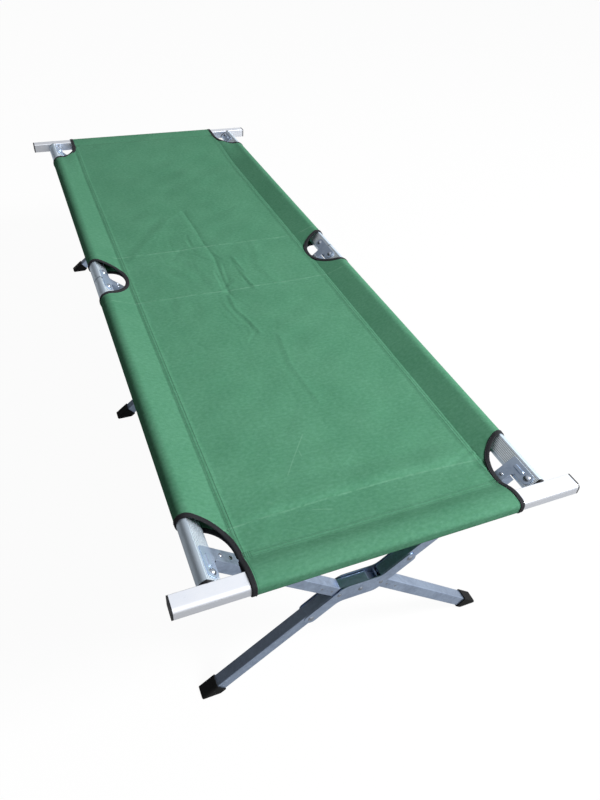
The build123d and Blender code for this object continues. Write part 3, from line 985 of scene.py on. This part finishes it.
    def relief(self, x: Array, y: Array) -> Array:
        """Find the height of the stretched bed over its level.

        Args:
            x: Places across the cot.
            y: Places along the cot.

        Returns:
            Heights from the sag, the laps of the seams, the folds for carrying and the wrinkles.
        """
        plan, sewing = self.plan, self.sewing
        across = np.clip(np.abs(x) / plan.seam_x, 0, 1)
        along = np.clip(np.abs(y) / plan.hem_y, 0, 1)
        height = -self.sag * (1 - across**2) * (1 - along**6)
        height = height + self.far_rise * smooth(y, plan.hem_y - self.far_rise_run, plan.hem_y)
        fold = sewing.creases[0] - sewing.near_bow * across**2
        height = height + self.near_rise * np.clip((fold - y) / (fold + plan.stitch_y), 0, 1)
        hollow = self.near_hollow * np.exp(-(((y - fold) / self.hollow_reach) ** 2))
        height = height - hollow * (1 - across**2)
        swell = np.sin(pi / 2 * np.clip((y - fold) / self.swell_run, 0, 1))
        swell = swell * (1 - smooth(y - fold, self.swell_run, self.swell_end))
        lean = self.swell_mean + self.swell_lean * np.clip(x / plan.seam_x, -1, 1)
        height = height + self.swell * swell * (lean * (1 - across**10))
        height = height + self._lap(plan.seam_x - np.abs(x)) + self._lap(plan.stitch_y - np.abs(y))
        waver = sum(size * np.sin(waves * x + phase) for size, waves, phase in sewing.crease_waver)
        for place in (fold, *sewing.creases[1:]):
            height = height + sewing.crease_lift * np.exp(-np.abs(y - place - waver) / sewing.crease_reach)
        loose = 1 - across**4
        for waves, turn, phase in self.ripples:
            wave = np.sin(waves * (x * cos(turn) + y * sin(turn)) + phase)
            height = height + self.ripple / waves * loose * wave
        for wrinkle in (*self.wrinkles, *self.small):
            height = height + wrinkle.height(x, y)
        return height

    def side_profile(self) -> Array:
        """Draw the line of the cloth from the bed's edge over the right rail and back under it.

        Returns:
            One row of X and Z per point.
        """
        plan = self.plan
        radius = plan.rail_radius + self.gap + self.thickness / 2
        start = np.array([plan.cut_x, self.bed_level])
        finish = np.array([plan.seam_x, self.bed_level - self.sleeve_layers * self.thickness])
        over = self._tangent(start, radius, 1)
        under = self._tangent(finish, radius, -1)
        ends = [atan2(point[1] - plan.rail_z, point[0] - plan.rail_x) for point in (over, under)]
        turns = np.linspace(*ends, self.arc_steps + 1)
        arc = points_of(plan.rail_x + radius * np.cos(turns), plan.rail_z + radius * np.sin(turns))
        share = 1 - np.cos(np.linspace(0, pi / 2, self.line_steps + 1))
        out = start + share[:, None] * (over - start)
        back_start = under + (finish - under) * (under[0] - plan.cut_x) / (under[0] - plan.seam_x)
        back = back_start + share[::-1, None] * (under - back_start)
        return np.concatenate([out[:-1], arc, back[1:], finish[None]])

    def _tangent(self, start: Array, radius: float, sign: int) -> Array:
        """Find where a straight line from a point touches the sleeve's round.

        Args:
            start: The point, as X and Z.
            radius: Radius of the sleeve round the rail.
            sign: 1 over the rail, -1 under it.

        Returns:
            X and Z of the touching point.
        """
        plan = self.plan
        reach = hypot(plan.rail_x - start[0], plan.rail_z - start[1])
        lean = atan2(plan.rail_z - start[1], plan.rail_x - start[0]) + sign * asin(radius / reach)
        return np.array([plan.rail_x - sign * radius * sin(lean), plan.rail_z + sign * radius * cos(lean)])

    @staticmethod
    def _climb(share: Array) -> Array:
        """Find the rise onto a bar: from the hem straight up, then over a low crown.

        Args:
            share: Shares of the run from the bed's end to the bar's outer edge.

        Returns:
            Shares of the rise there.
        """
        hem, bend, crown = 0.14, 0.38, 0.82
        past = np.maximum(share - bend, 0)
        form = np.clip(share - hem, 0, bend - hem) + past - past**2 / (2 * (crown - bend))
        return form / (1 - hem - (1 - bend) ** 2 / (2 * (crown - bend)))

    def end_profile(self) -> Array:
        """Draw the line of the cloth from the bed's end over the far bar and back under it.

        Returns:
            One row of Y and Z per point.
        """
        plan = self.plan
        wrap = self.gap + self.thickness / 2
        edge = plan.bar_edge + wrap
        top, bottom = plan.bar_top + wrap, plan.bar_bottom - wrap
        turn_y = plan.bar_outer_y + wrap - edge
        share = np.linspace(0, 1, self.ramp_steps)
        rise = (top - self.bed_level) * self._climb(share)
        ramp = points_of(plan.corner_y + (turn_y - plan.corner_y) * share, self.bed_level + rise)
        quarter = np.linspace(0, pi / 2, self.corner_steps)
        upper = points_of(turn_y + edge * np.sin(quarter), top - edge + edge * np.cos(quarter))
        lower = points_of(turn_y + edge * np.cos(quarter), bottom + edge - edge * np.sin(quarter))
        beneath = points_of(np.linspace(turn_y, plan.bar_flat_y, self.corner_steps)[1:-1], bottom)
        seam = np.array([plan.hem_y, self.bed_level - self.hem_layers * self.thickness])
        inner = np.array([plan.bar_flat_y, bottom])
        back = inner + share[:, None] * (seam - inner)
        return np.concatenate([ramp, upper[1:], lower, beneath, back])

    def _columns(self) -> Array:
        """Choose the places across the bed.

        Returns:
            Places in order, closer together at the side seams and where the bed is creased most.
        """
        insets = [0.0, *self.sewing.insets()]
        places = [sign * (self.plan.seam_x - inset) for inset in insets for sign in (-1, 1)]
        places += np.arange(*self.creased_zone, self.spacing / 2).tolist()
        return refined(-self.plan.cut_x, self.plan.cut_x, self.spacing, places)

    def _rows(self) -> Array:
        """Choose the places along the bed.

        Returns:
            Places in order, closer together at the folds and the hems, with one at the middle.
        """
        sewing = self.sewing
        places = [sign * (self.plan.stitch_y - inset) for inset in sewing.insets() for sign in (-1, 1)]
        steps = [0.0] + [sign * step for step in self.crease_steps for sign in (-1, 1)]
        places += [place + step * sewing.crease_reach for place in sewing.creases for step in steps]
        near = sewing.creases[0]
        places += np.arange(near - sewing.near_bow, near + self.swell_run, self.near_fold_step).tolist()
        return refined(-self.plan.corner_y, self.plan.corner_y, self.spacing, [*places, 0.0])

    def _lay_out(self) -> None:
        """Place every vertex of the cover, its pattern coordinates, its faces and its cut edges."""
        plan = self.plan
        columns = self._columns()
        bed_rows = self._rows()
        wrap = self.end_profile()
        wrap_arc = plan.corner_y + arc_lengths(wrap)
        row_y = np.concatenate([-wrap[:0:-1, 0], bed_rows, wrap[1:, 0]])
        row_z = np.concatenate([wrap[:0:-1, 1], np.full(bed_rows.shape, self.bed_level), wrap[1:, 1]])
        row_v = np.concatenate([-wrap_arc[:0:-1], bed_rows, wrap_arc[1:]])
        first = len(wrap) - 1
        last = len(row_y) - first
        relief_share = np.zeros(len(row_y))
        relief_share[first:last] = 1
        fade = 1 - self._climb(np.linspace(0, 1, self.ramp_steps))
        relief_share[last : last + self.ramp_steps - 1] = fade[1:]
        relief_share[first - self.ramp_steps + 1 : first] = fade[:0:-1]
        grid_x, grid_y = np.meshgrid(columns, row_y)
        grid_z = row_z[:, None] + self.relief(grid_x, grid_y) * relief_share[:, None]
        bed = points_of(grid_x, grid_y, grid_z)
        bed_index = np.arange(grid_x.size).reshape(grid_x.shape)
        self.edges = {}
        self._points = [bed.reshape(-1, 3)]
        self._pattern = [points_of(columns, row_v[:, None]).reshape(-1, 2)]
        self.faces = grid_faces(bed_index, flip=True)
        middle = int(np.argmin(np.abs(bed_rows)))
        halves = {End.NEAR: slice(0, middle + 1), End.FAR: slice(middle, len(bed_rows))}
        for side in Side:
            column = -1 if side is Side.RIGHT else 0
            edge, edge_index = bed[:, column], bed_index[:, column]
            for end, half in halves.items():
                root, root_index = edge[first:last][half], edge_index[first:last][half]
                self._lay_strip(side, end, bed_rows[half], root, root_index)
            self._join_edges(side, edge[: first + 1], edge[last - 1 :][::-1])
        self.points = np.concatenate(self._points)
        self.pattern = np.concatenate(self._pattern)

    def _lay_strip(self, side: Side, end: End, rows: Array, root: Array, root_index: Array) -> None:
        """Lay the cloth of half a side out over the rail and back under it.

        Args:
            side: The side of the cot.
            end: The half of that side.
            rows: Places along the bed's edge that the strip starts from.
            root: The bed's vertices there.
            root_index: Their numbers.
        """
        plan = self.plan
        profile = self.side_profile()
        profile_u = plan.cut_x + arc_lengths(profile)
        cut = plan.opening(profile[:, 0])
        straight = np.arange(len(profile)) < self.line_steps
        fade = (1 - smooth(profile[:, 0], plan.cut_x, plan.rail_x - self.relief_end)) * straight
        first, last = -plan.corner_y + plan.corner_run * cut, -plan.middle_run * cut
        if end is End.FAR:
            first, last = -last, -first
        share = (rows - rows[0]) / (rows[-1] - rows[0])
        y = first[:, None] + (last - first)[:, None] * share
        x = np.broadcast_to(side.value * profile[:, :1], y.shape)
        strip = points_of(x, y, profile[:, 1:] + self.relief(x, y) * fade[:, None])
        strip[0] = root
        index = np.zeros(y.shape, dtype=int)
        index[0] = root_index
        index[1:] = sum(map(len, self._points)) + np.arange(y[1:].size).reshape(y[1:].shape)
        self._points.append(strip[1:].reshape(-1, 3))
        self._pattern.append(points_of(side.value * profile_u[:, None], y)[1:].reshape(-1, 2))
        self.faces += grid_faces(index, flip=side is Side.LEFT)
        self._note_edges(side, end, strip, profile)

    def _note_edges(self, side: Side, end: End, strip: Array, profile: Array) -> None:
        """Keep the two cut edges of one side strip, from the bed out over the rail and back under it.

        Args:
            side: The side of the cot.
            end: The half of that side.
            strip: The strip's vertices.
            profile: Its line over the rail, as X and Z.
        """
        run = unit(np.gradient(profile, axis=0))
        out = smooth(profile[:, 0], self.plan.cut_x, self.plan.cut_x + self.turn_out)
        out[self.line_steps :] = 1
        normals = points_of(-side.value * run[:, 1] * out, 0.0, run[:, 0])
        normals = unit(normals + (1 - out)[:, None] * [0.0, 0.0, 1.0])
        for cut, beside in ((Cut.FIRST, 1), (Cut.LAST, -2)):
            line = strip[:, cut.value]
            inward = unit(np.cross(normals, unit(np.gradient(line, axis=0))))
            if np.sum(inward * (strip[:, beside] - line)) < 0:
                inward = -inward
            self.edges[side, end, cut] = EdgeLine(line, normals, inward)

    def _join_edges(self, side: Side, near_wrap: Array, far_wrap: Array) -> None:
        """Join strip edges with the hems' edges into the corner lines, and close the middle line.

        Args:
            side: The side of the cot.
            near_wrap: The near hem's edge on that side, from its stitching round the bar to the bed.
            far_wrap: The far hem's edge.
        """
        for end, wrap, cut in ((End.NEAR, near_wrap, Cut.FIRST), (End.FAR, far_wrap, Cut.LAST)):
            run = unit(np.gradient(wrap, axis=0))[:-1]
            normals = end.value * points_of(0.0, run[:, 2], -run[:, 1])
            inwards = np.tile([-float(side.value), 0.0, 0.0], (len(run), 1))
            self.edges[side, end] = EdgeLine(wrap[:-1], normals, inwards).joined(self.edges[side, end, cut])
        near = self.edges[side, End.NEAR, Cut.LAST].part(slice(None, -1))
        far = self.edges[side, End.FAR, Cut.FIRST].part(slice(-2, 0, -1))
        self.edges[side] = near.joined(far, closed=True)

    def cut_edges(self, side: Side) -> list[EdgeLine]:
        """The two corner cut-outs and the middle cut-out of one side."""
        return [self.edges[side, End.NEAR], self.edges[side, End.FAR], self.edges[side]]

    def flat_size(self) -> tuple[float, float]:
        """Width and length of the cut cloth before sewing."""
        spread = self.pattern.max(axis=0) - self.pattern.min(axis=0)
        return float(spread[0]), float(spread[1])

    def flat_area(self) -> float:
        """Measure the cut cloth, with its cut-outs, on its pattern.

        Returns:
            Its area.
        """
        corners = self.pattern[np.array(self.faces)]
        x, y = corners[..., 0], corners[..., 1]
        area = np.sum(x * np.roll(y, -1, axis=1) - y * np.roll(x, -1, axis=1), axis=1) / 2
        return float(np.abs(area).sum())

    def build(self, material: Material) -> Object:
        """Make the cover and give it its thickness.

        Args:
            material: The cloth.

        Returns:
            The cover.
        """
        cover = mesh_piece("canvas_cover", self.points, self.faces, self.pattern)
        cover.data.materials.append(material)
        thick = cover.modifiers.new("thickness", "SOLIDIFY")
        thick.thickness = self.thickness
        thick.offset = 0.0
        return cover


@dataclass(frozen=True)
class EdgeTape:
    """Tape folded over cut edges; it stands further off the cloth's outer face by its lift.

    The upper half of its outline runs from the lip to the width, each place as a share of one of them,
    with heights as shares of half the thickness.
    """

    width: float = 0.0085
    thickness: float = 0.0024
    lip: float = 0.0009
    lift: float = 0.0003
    row: float = 0.0068
    outline: tuple[Spot, ...] = ((-1.0, 0.0), (-0.75, 0.6), (0.1, 1.0), (0.88, 0.95), (1.0, 0.55))

    def _section(self) -> Array:
        """Draw the rounded outline of the folded tape.

        Returns:
            One row per point: how far into the cloth and how far off its middle.
        """
        half = self.thickness / 2
        upper = [(p * (self.width if p > 0 else self.lip), h * half) for p, h in self.outline]
        lower = [(reach, -height) for reach, height in upper[:0:-1]]
        return np.array(upper + lower)

    def build(self, name: str, lines: list[EdgeLine], material: Material) -> Object:
        """Make the tape over some cut edges.

        Args:
            name: The piece's name.
            lines: The edges that the tape is sewn over.
            material: The tape's cloth.

        Returns:
            The tape, as one mesh with its section along each edge.
        """
        section = self._section()
        ring = arc_lengths(section)
        points, pattern, faces = [], [], []
        total = 0
        for line in lines:
            body = line.points[:, None] + section[:, :1] * line.inwards[:, None]
            body = body + (section[:, 1:] + self.lift) * line.normals[:, None]
            count, size = body.shape[:2]
            index = total + np.arange(count * size).reshape(count, size)
            around = np.concatenate([index, index[:, :1]], axis=1)
            if line.closed:
                around = np.concatenate([around, around[:1]])
            else:
                faces += [index[0].tolist(), index[-1, ::-1].tolist()]
            faces += grid_faces(around)
            points.append(body.reshape(-1, 3))
            pattern.append(points_of(ring, arc_lengths(line.points)[:, None]).reshape(-1, 2))
            total += index.size
        tape = mesh_piece(name, np.concatenate(points), faces, np.concatenate(pattern))
        tape.data.materials.append(material)
        set_outward(tape)
        return tape

    def rows(self, lines: list[EdgeLine]) -> Rows:
        """Lines of the stitching on the tape's outer face, with their normals."""
        height = self.thickness / 2 + self.lift
        lifted = [edge.points + self.row * edge.inwards + height * edge.normals for edge in lines]
        return [(line, edge.normals) for line, edge in zip(lifted, lines)]


def set_outward(piece: Object) -> None:
    """Turn all faces of a closed mesh outwards.

    Args:
        piece: The mesh's object.
    """
    work = bmesh.new()
    work.from_mesh(piece.data)
    bmesh.ops.recalc_face_normals(work, faces=work.faces)
    work.to_mesh(piece.data)
    work.free()


@dataclass(frozen=True)
class StitchRows:
    """Rows of lockstitches: short plump threads that dip into the cloth at both ends.

    Places are in stitch lengths, swells and rises in thread radii, each from one end to the other.
    """

    pitch: float = 0.0055
    length: float = 0.0044
    radius: float = 0.00042
    sides: int = 5
    feel: float = 0.001
    places: tuple[float, ...] = (-0.5, -0.28, 0.28, 0.5)
    swells: tuple[float, ...] = (0.25, 1.0, 1.0, 0.25)
    rises: tuple[float, ...] = (-0.5, 0.55, 0.55, -0.5)

    def along(self, line: Array, normals: Array) -> tuple[Array, Array, Array]:
        """Space stitches along a line.

        Args:
            line: Points of the row on the cloth's surface.
            normals: The surface's normal at each point.

        Returns:
            Middles, directions and normals, with one row per stitch.
        """
        arc = arc_lengths(line)
        count = max(int(arc[-1] / self.pitch), 1)
        at = (np.arange(count) + 0.5) * arc[-1] / count
        middle, ahead, behind, normal = (
            points_of(*(np.interp(place, arc, part) for part in values.T))
            for place, values in ((at, line), (at + self.feel, line), (at - self.feel, line), (at, normals))
        )
        return middle, unit(ahead - behind), unit(normal)

    def build(self, name: str, rows: Rows, material: Material) -> Object:
        """Make all stitches of some rows as one mesh.

        Args:
            name: The piece's name.
            rows: Points and normals of each row.
            material: The thread.

        Returns:
            The stitches.
        """
        parts = [self.along(line, normals) for line, normals in rows]
        middle, ahead, normal = (np.concatenate(part)[:, None, None] for part in zip(*parts))
        side = np.cross(normal, ahead)
        places = np.array(self.places)[:, None, None] * self.length
        swell = np.array(self.swells)[:, None] * self.radius
        rise = np.array(self.rises)[:, None, None] * self.radius
        turn = np.linspace(0, 2 * pi, self.sides, endpoint=False)
        points = middle + places * ahead + rise * normal
        points = points + (swell * np.cos(turn))[..., None] * side
        points = points + (swell * np.sin(turn))[..., None] * normal
        index = np.arange(points[..., 0].size).reshape(points.shape[:3])
        around = np.concatenate([index, index[..., :1]], axis=2)
        corners = [around[:, :-1, :-1], around[:, :-1, 1:], around[:, 1:, 1:], around[:, 1:, :-1]]
        faces = np.stack(corners, axis=-1).reshape(-1, 4).tolist()
        faces += index[:, 0, ::-1].tolist() + index[:, -1].tolist()
        piece = mesh_piece(name, points.reshape(-1, 3), faces)
        piece.data.materials.append(material)
        return piece


@dataclass
class Cover:
    """The sewn cover: canvas, edge tapes and seams, hung from the left frame to the right one."""

    plan: CotPlan
    sewing: Sewing = Sewing()
    tape: EdgeTape = EdgeTape()
    stitches: StitchRows = StitchRows()
    seam_start: float = 0.010
    seam_samples: int = 900
    hem_start: float = 0.012
    hem_samples: int = 260
    tack_rows: int = 5
    tack_inset: float = 0.0015
    tack_step: float = 0.0017
    tack_start: float = 0.001
    tack_length: float = 0.014
    tack_samples: int = 24

    def build(self) -> list[Object]:
        """Make the cover's pieces and hang them between the frames.

        Returns:
            The canvas, the tapes and the stitches.
        """
        canvas = Canvas(self.plan, self.sewing)
        cloth = CanvasFinish("coated_canvas", self.sewing, self.plan.seam_x, self.plan.stitch_y)
        sheet = canvas.build(cloth.material())
        woven = TapeFinish("woven_tape").material()
        tapes = []
        for side in Side:
            tape = self.tape.build(f"edge_tape_{side.label}", canvas.cut_edges(side), woven)
            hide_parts(f"edge_binding_{side.label}")
            tapes.append(tape)
        green = ThreadFinish("green_thread", "37664e", "55896d").material()
        black = ThreadFinish("black_thread", "1b1c21", "3a3c44").material()
        seams = self.stitches.build("seam_stitches", self._seam_rows(canvas), green)
        tape_rows = [row for side in Side for row in self.tape.rows(canvas.cut_edges(side))]
        tape_seams = self.stitches.build("tape_stitches", tape_rows, black)
        quarters = [f"{side.label}_{end.label}" for side in Side for end in End]
        sleeves = [f"side_sleeve_{quarter}" for quarter in quarters]
        hems = [f"end_sleeve_{end.label}" for end in End]
        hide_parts("bed_panel", *sleeves, *hems)
        pieces = [sheet, *tapes, seams, tape_seams]
        reach = self.plan.cut_x
        for piece in pieces:
            -reach
            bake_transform(piece)
        canvas.flat_size()
        canvas.flat_area()
        return pieces

    def _seam_rows(self, canvas: Canvas) -> Rows:
        """Draw the side seams, the hem seams and their tacks on the bed's upper face.

        Args:
            canvas: The cloth that they are sewn into.

        Returns:
            Points and normals of each row.
        """
        plan = self.plan
        seam_reach, hem_reach = plan.corner_y - self.seam_start, plan.cut_x - self.hem_start
        seam = np.linspace(-seam_reach, seam_reach, self.seam_samples)
        hem = np.linspace(-hem_reach, hem_reach, self.hem_samples)
        tack = plan.stitch_y - np.linspace(self.tack_start, self.tack_length, self.tack_samples)
        places = []
        for inset in self.sewing.rows:
            for sign in (-1, 1):
                places.append((sign * (plan.seam_x - inset), seam))
                places.append((hem, sign * (plan.stitch_y - inset)))
        for side in Side:
            for end in End:
                for step in range(self.tack_rows):
                    tack_x = plan.seam_x - self.tack_inset - step * self.tack_step
                    places.append((side.value * tack_x, end.value * tack))
        rows = []
        for x, y in (np.broadcast_arrays(*place) for place in places):
            level = canvas.bed_level + canvas.thickness / 2
            line = points_of(x, y, level + canvas.relief(x, y))
            rows.append((line, np.tile([0.0, 0.0, 1.0], (len(line), 1))))
        return rows


@dataclass
class Hardware:
    """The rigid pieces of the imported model, each dressed in its own finish."""

    plan: CotPlan

    def dress(self) -> None:
        """Give every rigid node its material."""
        rail = GroovedMetal(
            "grooved_aluminium",
            Grain.ALONG,
            "dbe9f6",
            "bdd0e1",
            roughness=0.36,
            rail_x=self.plan.rail_x,
            rail_z=self.plan.rail_z,
        )
        bar = DrawnMetal("drawn_aluminium", Grain.ACROSS, "f5f8ff", "e4ebf7")
        zinc = PlatedSteel("zinc_plate", "c6d7ee", "9bb0cc", spangle=190.0, metallic=0.95)
        steel = PlatedSteel("galvanised_steel", "b8cae4", "8a99b2", spangle=160.0)
        rivet = PlatedSteel("zinc_rivet", "a9b1bd", "7a828e", spangle=260.0, roughness=0.17)
        rubber = DarkMoulding("foot_rubber", "0b0c0d", "18191b", roughness=0.62, grain=900.0, sheen=0.2)
        plastic = DarkMoulding("plug_plastic", "131417", "292b30", roughness=0.42, grain=1500.0, sheen=0.4)
        finishes = (
            (("foot_",), rubber),
            (("rail_plug", "end_bar_caps"), plastic),
            (("rail_",), rail),
            (("end_bar_",), bar),
            (("bracket_", "hub_rivets", "scissor_pivots", "stop_pins", "inner_hub_rivets"), rivet),
            (("end_bracket", "middle_plate"), zinc),
            (("outer_leg", "inner_leg", "hub_cheeks", "inner_hub"), steel),
        )
        rules = [(starts, finish.material()) for starts, finish in finishes]
        for name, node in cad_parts.items():
            found = [material for starts, material in rules if name.startswith(starts)]
            if found:
                node.data.materials.clear()
                node.data.materials.append(found[0])
                log.info("dressed %s in %s", name, found[0].name)


@dataclass
class Studio:
    """Plain pale floor, one soft lamp on the upper right and the camera at the photograph's place.

    The sky is brighter on the side that lit_from points to, and the mirrored floor away from the camera.
    """

    floor_size: float = 60.0
    floor_glow: float = 0.96
    mirrored_glow: float = 0.24
    away_glow: float = 0.80
    away_band: Band = (-0.3, 1.2)
    floor_bounce: float = 0.32
    shade_side: float = 0.06
    light_side: float = 0.19
    mirror_shade: float = 0.05
    lit_from: Triple = (0.6, -0.2, 0.6)
    lit_band: Band = (-0.37, 0.52)
    lamp_watts: float = 405.0
    lamp_size: float = 1.6
    lamp_reach: float = 5.5
    lamp_towards: Triple = (0.67, -0.49, 0.62)
    bed_height: float = 0.44
    eye: Triple = (-0.4455, -1.4821, 1.2987)
    yaw: float = 25.3
    pitch: float = 40.34
    roll: float = 4.59
    focal_pixels: float = 666.8
    picture_width: float = 600.0
    sensor: float = 36.0

    def build(self) -> None:
        """Make the floor, the light and the camera."""
        self._floor()
        self._sky()
        self._lamp()
        self._camera()
        bpy.context.scene.view_settings.view_transform = "Standard"

    def _floor(self) -> None:
        """A large floor, white where it is seen, that keeps a faint shadow."""
        half = self.floor_size / 2
        corners = np.array([(-half, -half, 0), (half, -half, 0), (half, half, 0), (-half, half, 0)])
        floor = mesh_piece("studio_floor", corners, [[0, 1, 2, 3]])
        graph = Graph.material("studio_floor")
        x, y, _ = graph.split(graph.place())
        away = self.mirrored_glow + (self.away_glow - self.mirrored_glow) * (x + y).step(*self.away_band)
        seen = graph.ray("Camera")
        share = (seen * self.floor_glow).larger(graph.mirrored() * away)
        bounce = (self.floor_bounce, self.floor_bounce, self.floor_bounce, 1.0)
        matt = graph.node("ShaderNodeBsdfDiffuse", inputs={"Color": graph.blend(seen, bounce, WHITE)})
        glow = graph.node("ShaderNodeEmission", inputs={"Color": WHITE, "Strength": 1.0})
        mixed = graph.node("ShaderNodeMixShader", inputs={0: share, 1: matt, 2: glow})
        floor.data.materials.append(graph.finish(mixed))

    def _sky(self) -> None:
        """White where it is seen, brighter on the lamp's side where it is mirrored or lights the cot."""
        graph = Graph(bpy.data.worlds.new("studio"))
        x, y, z = graph.split(graph.node("ShaderNodeTexCoord", output="Generated"))
        lit = (x * self.lit_from[0] + y * self.lit_from[1] + z * self.lit_from[2]).step(*self.lit_band)
        soft = self.shade_side + (self.light_side - self.shade_side) * lit
        mirrored = self.mirror_shade + (1 - self.mirror_shade) * lit
        strength = soft + graph.mirrored() * (mirrored - soft)
        strength = strength + graph.ray("Camera") * (1 - strength)
        light = graph.node("ShaderNodeBackground", inputs={"Color": WHITE, "Strength": strength})
        bpy.context.scene.world = graph.finish(light)

    def _lamp(self) -> None:
        """One broad lamp, high on the right and a little before the near end."""
        lamp = bpy.data.lights.new("key", "AREA")
        lamp.shape = "DISK"
        lamp.size = self.lamp_size
        lamp.energy = self.lamp_watts
        key = bpy.data.objects.new("key", lamp)
        towards = Vector(self.lamp_towards).normalized()
        key.location = self.lamp_reach * towards + Vector((0, 0, self.bed_height))
        key.rotation_euler = towards.to_track_quat("Z", "Y").to_euler()
        key.visible_camera = False
        bpy.context.scene.collection.objects.link(key)

    def _camera(self) -> None:
        """The photograph's eye point, turn, tilt and roll."""
        data = bpy.data.cameras.new("camera")
        data.sensor_fit = "HORIZONTAL"
        data.sensor_width = self.sensor
        data.lens = self.focal_pixels / self.picture_width * self.sensor
        yaw, pitch, roll = radians(self.yaw), radians(self.pitch), radians(self.roll)
        ahead = Vector((sin(yaw) * cos(pitch), cos(yaw) * cos(pitch), -sin(pitch)))
        level = Vector((cos(yaw), -sin(yaw), 0.0))
        upright = level.cross(ahead)
        right = cos(roll) * level + sin(roll) * upright
        up = cos(roll) * upright - sin(roll) * level
        camera = bpy.data.objects.new("camera", data)
        turn = Matrix((right, up, -ahead)).transposed()
        camera.matrix_world = Matrix.Translation(self.eye) @ turn.to_4x4()
        bpy.context.scene.collection.objects.link(camera)
        bpy.context.scene.camera = camera


def main() -> None:
    """Build the cover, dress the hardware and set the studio."""
    logging.basicConfig(level=logging.INFO, format="%(message)s")
    plan = CotPlan.from_frame()
    for piece in Cover(plan).build():
        log.info("made %s with %d faces", piece.name, len(piece.data.polygons))
    Hardware(plan).dress()
    Studio().build()


if __name__ == "__main__":
    main()
